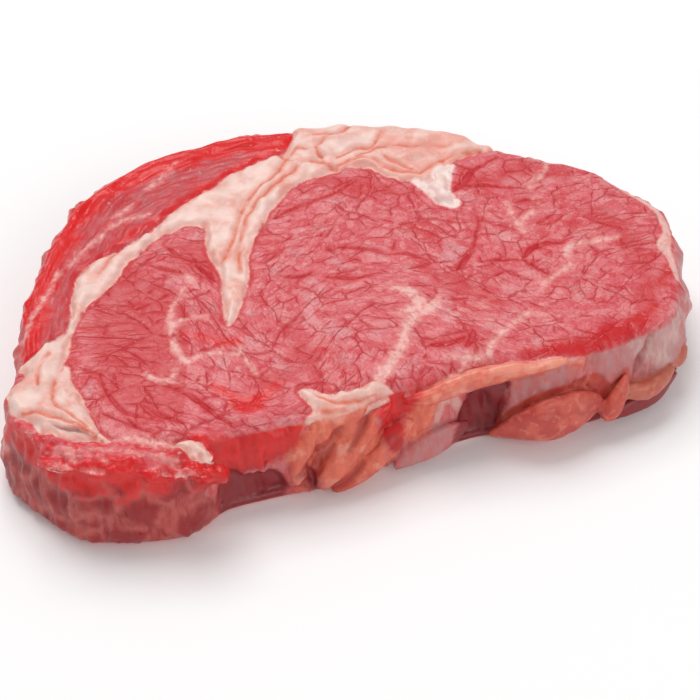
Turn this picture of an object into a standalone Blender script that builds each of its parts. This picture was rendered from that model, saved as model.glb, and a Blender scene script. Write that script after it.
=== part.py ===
"""Raw ribeye steak: one boneless slice of beef rib, lying on its cut face, as a single solid.

The slice is a wall that follows the cut's outline, closed by a flat face below and a softly
uneven cut face above. Its parts are lobes of that one body: the big eye of the loin, the cap
round its left side, the fat along its back, the tail lobe at the front left with a cleft
beside it, and the folds of fat that sag on to the table at the front right.

Metres, +Z up. +X runs along the slice, +Y towards its back. The origin is the centre of the
footprint's box, on the face that the slice lies on.
"""

import math

import bmesh
import bpy
from mathutils import Vector

MM = 0.001

THICKNESS = 27 * MM
COLUMNS = 150

# The widest outline of the slice in millimetres, clockwise from above. Its zero is a
# landmark near the middle of the cut face, and main() moves the body to the origin.
BACK_FAT = [(-15, 63.5), (-2, 65), (11, 64.3), (24, 61.3), (37, 56.6)]
LOIN_BACK = [(47, 53), (54.5, 50), (63, 48), (70, 43.5), (76.5, 37)]
LOIN_END = [(84, 30.5), (87.5, 20.5), (88, 8), (88, -4), (86, -13)]
FRONT_FOLDS = [(79, -20.5), (70.5, -25.5), (62, -29), (53, -33), (44, -34.3)]
FRONT_WALL = [(34, -34), (25, -37.5), (16, -41), (8, -44.5), (0, -49.5), (-9, -52), (-17, -54.5)]
CLEFT = [(-25, -57), (-31, -59.5), (-35, -64)]
TAIL_LOBE = [(-41, -67.5), (-52, -69), (-63, -68.3), (-71, -64.5), (-79, -57.5), (-86, -48.5)]
CAP_SIDE = [(-86.3, -40), (-84.2, -33), (-85.4, -24), (-85.5, -12), (-83.8, 1), (-81, 14), (-76.5, 27)]
CAP_BACK = [(-69.5, 38.5), (-59, 47.5), (-48, 54), (-37, 59), (-26, 62)]
BACK = BACK_FAT + LOIN_BACK + LOIN_END
FRONT = FRONT_FOLDS + FRONT_WALL + CLEFT + TAIL_LOBE
OUTLINE = BACK + FRONT + CAP_SIDE + CAP_BACK

# The line inside the slice that every wall and ring faces.
SPINE_START = Vector((-46, -8)) * MM
SPINE_END = Vector((48, 8)) * MM

# The side wall from the table to the cut face: (share of the thickness, set-in from the outline).
WALL_PROFILE = [
    (0.00, 4.2 * MM),
    (0.02, 2.2 * MM),
    (0.08, 0.7 * MM),
    (0.20, 0.0 * MM),
    (0.38, 0.1 * MM),
    (0.56, 0.5 * MM),
    (0.74, 1.1 * MM),
    (0.87, 2.0 * MM),
    (0.95, 3.3 * MM),
    (0.99, 5.0 * MM),
]
FRONT_LEAN = 2.2 * MM

# The cut face's rings, as shares of the way from the rim to the spine.
TOP_RINGS = [0.06, 0.14, 0.24, 0.36, 0.50, 0.65, 0.80, 0.92]

# Rises (+) and hollows (-) of the cut face: (x, y, radius, height), in millimetres.
TOP_RELIEF = [
    (35, 12, 34, 0.7),
    (-42, -14, 22, 0.5),
    (-26, 10, 8, -0.5),
    (8, 52, 16, 0.4),
    (24, 33, 6, -0.7),
    (-66, 18, 16, -0.9),
    (-74, -36, 9, 0.5),
    (78, -8, 12, -0.9),
    (10, -38, 14, -0.8),
    (-58, -62, 16, -0.9),
    (-22, -56, 9, -1.6),
]

# Bulges (+) and hollows (-) of the side wall: (x, y, height of the centre, radius, depth),
# in millimetres.
SIDE_RELIEF = [
    (47, -34, 6, 9, 1.8),
    (65, -28, 6, 5, 1.6),
    (77, -21, 5, 6, 1.6),
    (33, -35, 8, 5, -2.4),
    (17, -41, 6, 5, 0.9),
    (-3, -51, 5, 7, 1.2),
    (-20, -56, 7, 6, -1.2),
    (-31, -60, 10, 6, -1.8),
    (-58, -68, 11, 14, 1.4),
    (-84, -44, 20, 5, -1.2),
    (85, 8, 14, 12, 0.8),
    (10, 62, 12, 14, 0.9),
    (-50, 52, 10, 13, 0.8),
]

# The seam between the tail lobe and the body, across the cut face and down the cleft.
SEAM = [(-80, -49), (-66, -55), (-50, -57.5), (-37, -58), (-30, -62)]
SEAM_WIDTH = 2.6
SEAM_DEPTH = 1.3

MEAT_RED = (0.56, 0.07, 0.07, 1.0)
MEAT_ROUGHNESS = 0.42


def smooth_point(points, position):
    """The point at this position, counted in control points, on a closed Catmull-Rom curve."""
    index = math.floor(position)
    t = position - index
    before, start, end, after = (
        Vector(points[(index + step) % len(points)]) for step in (-1, 0, 1, 2)
    )
    return 0.5 * (
        2 * start
        + (end - before) * t
        + (2 * before - 5 * start + 4 * end - after) * t**2
        + (3 * start - before - 3 * end + after) * t**3
    )


def evenly_spaced(points, count):
    """As many points as count, an equal way apart on the closed curve through the given ones."""
    fine = 24 * len(points)
    curve = [smooth_point(points, i * len(points) / fine) for i in range(fine)]
    lengths = [0.0]
    for i in range(fine):
        lengths.append(lengths[-1] + (curve[(i + 1) % fine] - curve[i]).length)
    spaced = []
    i = 0
    for k in range(count):
        wanted = k * lengths[-1] / count
        while lengths[i + 1] < wanted:
            i += 1
        share = (wanted - lengths[i]) / (lengths[i + 1] - lengths[i])
        spaced.append(curve[i].lerp(curve[(i + 1) % fine], share) * MM)
    return spaced


def nearest_on_segment(point, start, end):
    """The point of the segment from start to end that is nearest to the given point."""
    along = end - start
    share = (point - start).dot(along) / along.length_squared
    return start + along * min(1.0, max(0.0, share))


def bell(distance, radius):
    """A smooth bump: 1 at no distance, and nearly 0 from twice the radius."""
    return math.exp(-((distance / radius) ** 2))


def seam_depth(point):
    """How far the cut face dips at the seam of the tail lobe."""
    line = [Vector(p) * MM for p in SEAM]
    distance = min(
        (point - nearest_on_segment(point, a, b)).length for a, b in zip(line, line[1:])
    )
    return SEAM_DEPTH * MM * bell(distance, SEAM_WIDTH * MM)


def top_height(point):
    """The height of the cut face above the table at this point."""
    rises = sum(
        height * MM * bell((point - Vector((x, y)) * MM).length, radius * MM)
        for x, y, radius, height in TOP_RELIEF
    )
    return THICKNESS + rises - seam_depth(point)


def wall_point(outline_point, share, set_in):
    """A point of the side wall, where the outline passes outline_point, at a share of the height."""
    inward = (nearest_on_segment(outline_point, SPINE_START, SPINE_END) - outline_point).normalized()
    lean = FRONT_LEAN * share * max(0.0, inward.y)
    height = share * THICKNESS
    outward = 0.0
    for x, y, z, radius, depth in SIDE_RELIEF:
        offset = Vector((*(outline_point - Vector((x, y)) * MM), height - z * MM))
        outward += depth * MM * bell(offset.length, radius * MM)
    spread = min(1.0, 4 * share)
    place = outline_point + inward * (set_in + lean - outward * spread)
    return Vector((*place, height))


def ring_points(outline):
    """The rings of the body from the table up the wall and on to the cut face."""
    rings = [[wall_point(p, share, set_in) for p in outline] for share, set_in in WALL_PROFILE]
    rim = [p.to_2d() for p in rings[-1]]
    for share in TOP_RINGS:
        ring = []
        for p in rim:
            place = p.lerp(nearest_on_segment(p, SPINE_START, SPINE_END), share)
            ring.append(Vector((*place, top_height(place))))
        rings.append(ring)
    return rings


def close_over_spine(mesh, ring):
    """Closes the innermost ring with one strip of faces, from its back half to its front half."""
    points = [edge.verts[0].co.to_2d() for edge in ring]
    along = SPINE_END - SPINE_START
    first = min(range(len(points)), key=lambda i: points[i].dot(along))
    turned = ring[first:] + ring[:first]
    half = len(turned) // 2
    bmesh.ops.bridge_loops(mesh, edges=turned[: half - 1] + turned[half:-1])


def add_ring(mesh, points):
    """Adds a closed loop of edges through the points, and returns those edges."""
    verts = [mesh.verts.new(p) for p in points]
    return [mesh.edges.new((a, b)) for a, b in zip(verts, verts[1:] + verts[:1])]


def steak_mesh():
    """The slice as one closed mesh, with its footprint's box centred on the origin."""
    mesh = bmesh.new()
    rings = ring_points(evenly_spaced(OUTLINE, COLUMNS))
    loops = [add_ring(mesh, ring) for ring in rings]
    for lower, upper in zip(loops, loops[1:]):
        bmesh.ops.bridge_loops(mesh, edges=lower + upper)
    bmesh.ops.contextual_create(mesh, geom=loops[0])
    close_over_spine(mesh, loops[-1])
    bmesh.ops.recalc_face_normals(mesh, faces=mesh.faces)
    xs = [v.co.x for v in mesh.verts]
    ys = [v.co.y for v in mesh.verts]
    centre = Vector(((min(xs) + max(xs)) / 2, (min(ys) + max(ys)) / 2, 0))
    bmesh.ops.translate(mesh, verts=mesh.verts, vec=-centre)
    data = bpy.data.meshes.new("steak")
    mesh.to_mesh(data)
    mesh.free()
    data.shade_smooth()
    return data


def meat_material():
    """Raw lean beef, moist."""
    material = bpy.data.materials.new("lean_meat")
    material.use_nodes = True
    shader = material.node_tree.nodes["Principled BSDF"]
    shader.inputs["Base Color"].default_value = MEAT_RED
    shader.inputs["Roughness"].default_value = MEAT_ROUGHNESS
    shader.inputs["Metallic"].default_value = 0.0
    return material


def main():
    """Clears the scene and builds the steak."""
    for old in list(bpy.data.objects):
        bpy.data.objects.remove(old)
    steak = bpy.data.objects.new("steak", steak_mesh())
    steak.data.materials.append(meat_material())
    bpy.context.scene.collection.objects.link(steak)


main()
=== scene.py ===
"""Raw ribeye steak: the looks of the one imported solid.

The slice is one body of meat and fat, with loose folds and shreds that hang on its edge. Every
outline is in millimetres, measured from the landmark near the middle of the cut face. What a spot
is made of is measured once for each vertex and stored on the mesh, and the sculpting, the cracks
and the material all read it from there.
"""

import logging
import math
from dataclasses import dataclass
from enum import Enum
from functools import cached_property
from typing import Any

import bmesh
import bpy
import numpy as np
from mathutils import Matrix, Vector


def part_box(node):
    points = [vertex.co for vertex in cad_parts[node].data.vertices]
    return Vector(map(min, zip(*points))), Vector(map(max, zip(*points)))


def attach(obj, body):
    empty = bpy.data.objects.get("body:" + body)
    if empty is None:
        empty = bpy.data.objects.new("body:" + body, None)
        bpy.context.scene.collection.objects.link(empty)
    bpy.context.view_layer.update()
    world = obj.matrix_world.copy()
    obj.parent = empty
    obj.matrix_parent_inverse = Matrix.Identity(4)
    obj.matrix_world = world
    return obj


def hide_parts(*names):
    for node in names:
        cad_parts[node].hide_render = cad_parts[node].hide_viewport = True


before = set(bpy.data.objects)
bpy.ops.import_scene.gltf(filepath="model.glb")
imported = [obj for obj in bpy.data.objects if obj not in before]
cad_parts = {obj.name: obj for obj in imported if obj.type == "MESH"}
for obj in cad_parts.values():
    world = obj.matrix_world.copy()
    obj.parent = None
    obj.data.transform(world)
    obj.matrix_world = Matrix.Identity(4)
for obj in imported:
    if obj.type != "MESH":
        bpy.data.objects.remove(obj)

LOG = logging.getLogger("steak")
MM = 0.001
NODE = "steak"
BODY = "root"
# How far outside a tissue its depth is still measured, in millimetres.
REACH = 6.0
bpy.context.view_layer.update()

Line = tuple[tuple[float, ...], ...]
Lines = tuple[Line, ...]
Socket = bpy.types.NodeSocket
Colour = tuple[float, float, float, float]


def srgb(red: int, green: int, blue: int) -> Colour:
    """Turns a display colour into the linear colour that a shader takes.

    Args:
        red: Red, from 0 to 255.
        green: Green, from 0 to 255.
        blue: Blue, from 0 to 255.

    Returns:
        The linear colour, opaque.
    """
    linear = []
    for channel in (red, green, blue):
        share = channel / 255
        linear.append(share / 12.92 if share <= 0.04045 else ((share + 0.055) / 1.055) ** 2.4)
    return (*linear, 1.0)


# ---------------------------------------------------------------- lines on the cut face


def curve(points: Line, closed: bool = False, steps: int = 5) -> np.ndarray:
    """Draws a smooth line through a few points.

    Args:
        points: Rows of x, y and any further values, such as a radius.
        closed: Whether the line comes back to its start.
        steps: How many points stand for each stretch.

    Returns:
        The line's points, one a row; a closed line repeats its first point at its end.
    """
    rows = np.array(points, float)
    if closed:
        padded = np.vstack([rows[-1], rows, rows[0], rows[1]])
    else:
        padded = np.vstack([2 * rows[0] - rows[1], rows, 2 * rows[-1] - rows[-2]])
    t = np.linspace(0, 1, steps, endpoint=False)[:, None]
    parts = []
    for a, b, c, d in zip(padded, padded[1:], padded[2:], padded[3:]):
        cubic = (3 * b - a - 3 * c + d) * t**3
        parts.append(0.5 * (2 * b + (c - a) * t + (2 * a - 5 * b + 4 * c - d) * t**2 + cubic))
    line = np.vstack(parts)
    return np.vstack([line, line[0] if closed else rows[-1]])


def nearest(places: np.ndarray, line: np.ndarray) -> tuple[np.ndarray, np.ndarray]:
    """Measures how far places are from a line.

    Args:
        places: Points, two or three numbers a row.
        line: The line's points, as curve() gives them.

    Returns:
        The distance of each place, and the line's further values at its nearest spot.
    """
    axes = places.shape[1]
    best = np.full(len(places), np.inf)
    extra = np.zeros((len(places), line.shape[1] - axes))
    for start, end in zip(line, line[1:]):
        along = end[:axes] - start[:axes]
        share = np.clip(((places - start[:axes]) @ along) / max(along @ along, 1e-12), 0, 1)
        distance = np.linalg.norm(places - start[:axes] - share[:, None] * along, axis=1)
        closer = distance < best
        best[closer] = distance[closer]
        extra[closer] = start[axes:] + share[closer, None] * (end[axes:] - start[axes:])
    return best, extra


def depth_in(places: np.ndarray, outline: np.ndarray) -> np.ndarray:
    """Measures how deep places lie in an outline.

    Args:
        places: Points, two numbers a row.
        outline: The outline's points, which end where they start.

    Returns:
        The distance to the outline, positive inside and negative outside.
    """
    x, y = places[:, 0], places[:, 1]
    inside = np.zeros(len(places), bool)
    for (x0, y0), (x1, y1) in zip(outline[:, :2], outline[1:, :2]):
        if y0 != y1:
            inside ^= ((y0 > y) != (y1 > y)) & (x < x0 + (y - y0) * (x1 - x0) / (y1 - y0))
    distance, _ = nearest(places, outline)
    return np.where(inside, distance, -distance)


def close_to(places: np.ndarray, path: np.ndarray, reach: float = REACH) -> np.ndarray:
    """Picks the places that may be near a path.

    Args:
        places: Points, two or three numbers a row.
        path: The path's points, as curve() gives them.
        reach: How far outside the path's box a place may lie.

    Returns:
        The row numbers of those places.
    """
    axes = places.shape[1]
    low, high = path[:, :axes].min(0) - reach, path[:, :axes].max(0) + reach
    return np.nonzero(((places > low) & (places < high)).all(1))[0]


def smooth_step(value: np.ndarray, low: float, high: float) -> np.ndarray:
    """Rises smoothly from 0 at low to 1 at high."""
    share = np.clip((value - low) / (high - low), 0, 1)
    return share * share * (3 - 2 * share)


def bell(distance: np.ndarray, radius: float) -> np.ndarray:
    """A smooth bump: 1 at no distance, and nearly 0 from twice the radius."""
    return np.exp(-((distance / radius) ** 2))


class Waves:
    """Seeded sums of sine waves, as a smooth and uneven field in space."""

    def __init__(self, seed: int, size: float, count: int = 24) -> None:
        """Draws the waves.

        Args:
            seed: The seed of the draw.
            size: About how far it is from one rise to the next, in millimetres.
            count: How many waves are summed.
        """
        random = np.random.default_rng(seed)
        ways = random.normal(size=(count, 3))
        ways /= np.linalg.norm(ways, axis=1, keepdims=True)
        self.ways = ways * (2 * math.pi / size) * random.uniform(0.6, 1.7, (count, 1))
        self.starts = random.uniform(0, 2 * math.pi, count)

    def at(self, places: np.ndarray) -> np.ndarray:
        """Gives the field at places in millimetres, mostly between -1 and 1."""
        return np.sin(places @ self.ways.T + self.starts).sum(1) / math.sqrt(len(self.starts))


@dataclass(frozen=True)
class Ripple:
    """Low waves: their seed, their length and height in millimetres, and how much each axis counts."""

    seed: int
    size: float
    height: float
    axes: tuple = (1.0, 1.0, 1.0)

    def at(self, places: np.ndarray) -> np.ndarray:
        """Gives the height of the waves at places, both in millimetres."""
        return self.height * Waves(self.seed, self.size).at(places * self.axes)


@dataclass(frozen=True)
class Landmark:
    """The spot that all outlines are measured from, near the middle of the cut face."""

    from_left: float = 86.45 * MM
    from_front: float = 69.53 * MM

    @cached_property
    def spot(self) -> np.ndarray:
        """Gives the landmark's place in the row's frame, on the table."""
        low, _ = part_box(NODE)
        return np.array([low.x + self.from_left, low.y + self.from_front, low.z])

    def millimetres(self, places: np.ndarray) -> np.ndarray:
        """Turns places in the row's frame into millimetres from the landmark."""
        return (places - self.spot) / MM

    def metres(self, places: np.ndarray) -> np.ndarray:
        """Turns millimetres from the landmark into places in the row's frame."""
        return places * MM + self.spot


LANDMARK = Landmark()


# ---------------------------------------------------------------- what lies where


class Tissue(Enum):
    """What a spot of the steak is made of; each value names a mesh attribute.

    The attribute holds how deep the spot lies in that tissue, in millimetres.
    """

    FAT = "fat"
    RIM = "rim"
    VEIN = "vein"
    CAP = "cap"
    TAIL = "tail"
    BLOOD = "blood"
    GASH = "gash"
    MEMBRANE = "membrane"
    SILVER = "silver"
    # MAROON is dark red muscle; in the wall's hollows and under the flaps its dark colour is also painted
    # shade.
    MAROON = "maroon"
    WARM_FAT = "warm_fat"
    CORAL = "coral"
    TAN = "tan"
    # FURROW marks creases on the wall, which are sunk and also painted dark red as painted shade.
    FURROW = "furrow"
    RED = "red"
    WHITE = "white"
    RICH = "rich"


@dataclass(frozen=True)
class Swirl:
    """A place where the muscle's grain turns: centre and radius in millimetres, turn in degrees."""

    x: float
    y: float
    radius: float
    turn: float

    def bend(self, places: np.ndarray) -> np.ndarray:
        """Turns the places round the swirl's centre, less and less with distance.

        Args:
            places: Points on the cut face, in millimetres.

        Returns:
            The turned points.
        """
        offset = places - (self.x, self.y)
        angle = math.radians(self.turn) * bell(np.hypot(offset[:, 0], offset[:, 1]), self.radius)
        cos, sin = np.cos(angle), np.sin(angle)
        ahead, aside = offset[:, 0], offset[:, 1]
        turned = np.stack([cos * ahead + sin * aside, cos * aside - sin * ahead], 1)
        return turned + (self.x, self.y)


@dataclass(frozen=True)
class Lobe:
    """A soft fold or shred on the slice: a flat, tapering roll of meat or fat.

    The path's rows are x, y, height, half the width and half the thickness, in millimetres.
    """

    tissue: Tissue
    path: Line
    outward: tuple[float, ...] = (0.0, 0.0, 1.0)
    sides: int = 14
    steps: int = 4

    def add_to(self, whole: bmesh.types.BMesh) -> None:
        """Adds the lobe's closed shell to a mesh.

        Args:
            whole: The mesh, in metres.
        """
        shell = bmesh.new()
        path = curve(self.path, steps=self.steps)
        tangents = np.gradient(path[:, :3], axis=0)
        rings = []
        for number, (spot, tangent) in enumerate(zip(path, tangents)):
            ahead = Vector(tangent).normalized()
            wide = ahead.cross(Vector(self.outward)).normalized()
            axes = (wide * spot[3] * MM, wide.cross(ahead) * spot[4] * MM, ahead * MM)
            turn = Matrix(axes).transposed().to_4x4()
            turn.translation = LANDMARK.metres(spot[:3])
            last = number in (0, len(path) - 1)
            ring = bmesh.ops.create_circle(shell, cap_ends=last, segments=self.sides, radius=1, matrix=turn)
            rings.append(list({edge for vert in ring["verts"] for edge in vert.link_edges}))
        for first, second in zip(rings, rings[1:]):
            bmesh.ops.bridge_loops(shell, edges=first + second)
        bmesh.ops.recalc_face_normals(shell, faces=shell.faces)
        mesh = bpy.data.meshes.new("lobe")
        shell.to_mesh(mesh)
        shell.free()
        whole.from_mesh(mesh)
        bpy.data.meshes.remove(mesh)

    def depth(self, places: np.ndarray) -> np.ndarray:
        """Measures how deep places lie in the lobe.

        Args:
            places: Points in millimetres from the landmark.

        Returns:
            The depth of each in millimetres, down to -REACH outside the lobe.
        """
        path = curve(self.path, steps=self.steps)
        depth = np.full(len(places), -REACH)
        near = close_to(places, path, REACH + path[:, 3].max())
        distance, size = nearest(places[near], path)
        depth[near] = np.maximum(-REACH, size[:, 0] - distance)
        return depth


# The ways that the flat side of a fold faces.
FRONT = (0.0, -1.0, 0.2)
RIGHT_FRONT = (0.5, -1.0, 0.1)


@dataclass(frozen=True)
class Folds:
    """The loose flaps and the folds on the side wall, the rolls on the cut face, and the tail's shreds.

    The shreds' sizes are in millimetres.
    """

    flaps: tuple[Lobe, ...] = (
        Lobe(Tissue.CORAL, (
            (35, -35, 5, 1, 0.7), (41, -36, 8, 4.4, 1.8), (48, -36, 10.4, 6.8, 2.8),
            (54.6, -33.8, 11.2, 7, 2.7), (59.8, -31.2, 11.4, 5, 2), (63.4, -29.4, 11.4, 2, 1.1),
        ), RIGHT_FRONT),
        Lobe(Tissue.CORAL, (
            (69.8, -25.8, 17.2, 0.8, 0.6), (68.8, -27.4, 14.2, 2, 1.5), (67.4, -28.8, 11.2, 3, 2),
            (66, -30, 8.4, 3.2, 2.1), (64.8, -30.8, 6, 1.9, 1.5),
        ), RIGHT_FRONT),
        Lobe(Tissue.TAN, (
            (68, -27, 13.4, 1, 0.9), (72, -26.4, 11.4, 2.4, 1.9), (76.4, -24.2, 10.2, 2.7, 2.2),
            (80, -21.2, 10.8, 2.2, 1.7), (82.8, -18, 11.8, 0.9, 0.8),
        ), RIGHT_FRONT),
        # A dark red roll below the tan flap: its dark colour is partly painted shade under the flap.
        Lobe(Tissue.MAROON, (
            (66, -28, 3.4, 1, 0.8), (72, -25.4, 4.6, 2.4, 1.3), (79, -21, 5, 2.4, 1.2),
            (84, -14.6, 5.4, 1, 0.6),
        ), RIGHT_FRONT),
        Lobe(Tissue.TAN, (
            (84.2, -15.8, 9.8, 0.6, 0.6), (85.6, -13.4, 10.8, 1.7, 1.4), (86.4, -10.6, 12.6, 1.1, 0.9),
        ), RIGHT_FRONT),
        Lobe(Tissue.MEMBRANE, (
            (30, -36, 10.4, 0.9, 0.6), (24.6, -38.8, 8.6, 3.2, 1.4), (19, -41, 6.6, 3.9, 1.7),
            (14, -43, 4.2, 2.4, 1.2), (11, -44.4, 2.6, 0.8, 0.6),
        ), FRONT),
    )
    folds: tuple[Lobe, ...] = (
        Lobe(Tissue.WARM_FAT, (
            (10, -41, 22, 0.9, 0.6), (5, -44.2, 19.6, 2.8, 1.3), (0, -47.6, 15, 3.4, 1.7),
            (-4, -50.4, 9.6, 3, 1.6), (-7, -52.2, 4.6, 1.2, 0.8),
        ), FRONT),
        Lobe(Tissue.WARM_FAT, (
            (15, -40.6, 16, 0.9, 0.6), (10, -43.6, 12, 3, 1.5), (5, -46.8, 8, 3.2, 1.7),
            (-1, -50, 4.6, 2.4, 1.3), (-4.6, -51.8, 2.8, 0.8, 0.6),
        ), FRONT),
        Lobe(Tissue.WARM_FAT, (
            (-9, -49, 22.6, 0.9, 0.6), (-11.4, -51, 17.6, 2.3, 1.1), (-12.6, -52.8, 11.6, 2.2, 1.2),
            (-12.2, -53.6, 6.4, 0.9, 0.6),
        ), FRONT),
        Lobe(Tissue.WARM_FAT, (
            (14, -39, 21.4, 0.9, 0.7), (21, -37, 21.6, 2.2, 1.3), (30, -33.6, 22.8, 2.7, 1.4),
            (38, -31.7, 23.6, 2.4, 1.3), (46, -30.6, 24.5, 1.6, 0.9), (54, -29, 25.3, 0.8, 0.5),
        ), FRONT),
        Lobe(Tissue.RED, (
            (-41, -62.2, 22.6, 1.4, 1.4), (-37, -63.4, 22.4, 2.6, 2.2), (-33, -63.6, 21.6, 2.7, 2.4),
            (-30.4, -62.6, 20.4, 2, 1.8), (-29, -61.4, 19.6, 1, 0.9),
        ), (0.3, -0.8, 0.5)),
    )
    top: tuple[Lobe, ...] = (
        Lobe(Tissue.WHITE, (
            (17.6, 37.4, 27, 0.5, 0.3), (20.6, 35, 27.3, 1.2, 0.6), (23.4, 32, 27.6, 1.9, 0.9),
            (26, 29.8, 27.7, 2.3, 0.9), (27.2, 28.8, 27.4, 1.6, 0.5),
        )),
        Lobe(Tissue.WHITE, (
            (25.6, 33, 27.2, 0.7, 0.5), (24.6, 37, 27.6, 2.1, 1), (25, 40.4, 27.5, 1.9, 1),
            (27, 43.4, 27.2, 0.7, 0.5),
        )),
        Lobe(Tissue.FAT, (
            (-42.6, -58.4, 24.6, 0.6, 0.6), (-39, -58.6, 24.4, 1.6, 1.7), (-35.6, -59.8, 24, 2.1, 2.2),
            (-33.4, -61.4, 23.2, 1.3, 1.9),
        )),
        Lobe(Tissue.FAT, (
            (-80.4, -45.4, 25.4, 0.8, 0.6), (-74, -48.4, 26.6, 2.5, 1.2), (-67, -51.4, 26.9, 2.4, 1.2),
            (-60.6, -54.2, 26.4, 0.9, 0.6),
        )),
        Lobe(Tissue.FAT, (
            (-70, -33, 26.4, 0.8, 0.6), (-69.2, -39, 26.9, 1.8, 0.9), (-66, -46, 26.9, 2, 1),
            (-61, -53, 26.4, 0.8, 0.5),
        )),
        Lobe(Tissue.FAT, (
            (-71.6, -22, 26.4, 0.9, 0.6), (-74, -27, 27, 2.6, 1.3), (-75.4, -33, 27.2, 2.9, 1.4),
            (-74.6, -40, 26.8, 2.6, 1.2), (-72, -45, 26.4, 0.9, 0.6),
        )),
        Lobe(Tissue.FAT, (
            (-79, -29.4, 24.6, 0.9, 0.7), (-80, -32.4, 25, 2, 1.4), (-79.4, -35.4, 25, 1, 0.7),
        )),
        Lobe(Tissue.FAT, (
            (-81, -37.6, 24.6, 0.9, 0.7), (-82, -40.8, 24.8, 2.2, 1.5), (-80.6, -44, 24.8, 1.1, 0.8),
        )),
        Lobe(Tissue.FAT, (
            (-14, 47, 26.4, 0.8, 0.6), (-9, 48.6, 27.2, 2.6, 1.2), (-3.6, 51.4, 27.4, 3.2, 1.4),
            (2.6, 55, 27, 3, 1.3), (6, 58.6, 26, 1, 0.8),
        )),
        Lobe(Tissue.FAT, (
            (-14.6, 54, 26, 0.8, 0.6), (-10, 54.8, 26.8, 2, 1), (-5, 59, 26.2, 2.4, 1.1),
            (2, 62, 24.4, 1.4, 0.8),
        )),
        Lobe(Tissue.FAT, (
            (0, 46.6, 26.8, 0.8, 0.5), (6, 47.4, 27.2, 2.1, 1), (14, 47.6, 27.3, 2.7, 1.1),
            (22, 48.4, 27, 2.3, 1), (29, 50.6, 26.6, 0.8, 0.5),
        )),
        Lobe(Tissue.FAT, (
            (8, 57, 26.2, 0.8, 0.5), (14, 56.4, 26.8, 2.6, 1.1), (22, 55.6, 26.6, 2.8, 1.1),
            (31, 54, 26, 2, 0.8), (37, 52.4, 25.6, 0.6, 0.5),
        )),
    )
    tail_edge: Line = (
        (-76, -60.6, 23), (-69, -63.4, 23.4), (-60, -64.4, 23.5), (-50, -64.8, 23.3), (-41, -64.6, 22.9),
        (-34, -64, 22.6),
    )
    shred_count: int = 32
    shred_seed: int = 7
    shred_steps: int = 20
    shred_scatter: tuple = (1.2, 0.6, 0.4)
    shred_ways: tuple = (1, 0.15, 0.12)
    shred_reach: tuple = (1.8, 3.6)
    shred_thickness: tuple = (0.8, 1.3)
    shred_tissues: tuple = (Tissue.RED, Tissue.RED, Tissue.RED, Tissue.VEIN)

    def shreds(self) -> list[Lobe]:
        """Draws the torn shreds along the front edge of the tail.

        Returns:
            The shreds, the same ones each time.
        """
        random = np.random.default_rng(self.shred_seed)
        line = curve(self.tail_edge, steps=self.shred_steps)
        shreds = []
        for _ in range(self.shred_count):
            middle = line[random.integers(len(line))] + random.normal(size=3) * self.shred_scatter
            way = random.normal(size=3) * self.shred_ways
            way *= random.uniform(*self.shred_reach) / np.linalg.norm(way)
            thick = random.uniform(*self.shred_thickness)
            tissue = self.shred_tissues[random.integers(len(self.shred_tissues))]
            rows = []
            for along in (-1, -0.5, 0, 0.5, 1):
                half = thick * (1.1 - along * along)
                rows.append((*(middle + way * along), half, half))
            shreds.append(Lobe(tissue, tuple(rows), FRONT))
        return shreds

    def all(self) -> list[Lobe]:
        """Lists every fold, flap and shred."""
        return [*self.flaps, *self.folds, *self.top, *self.shreds()]


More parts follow.
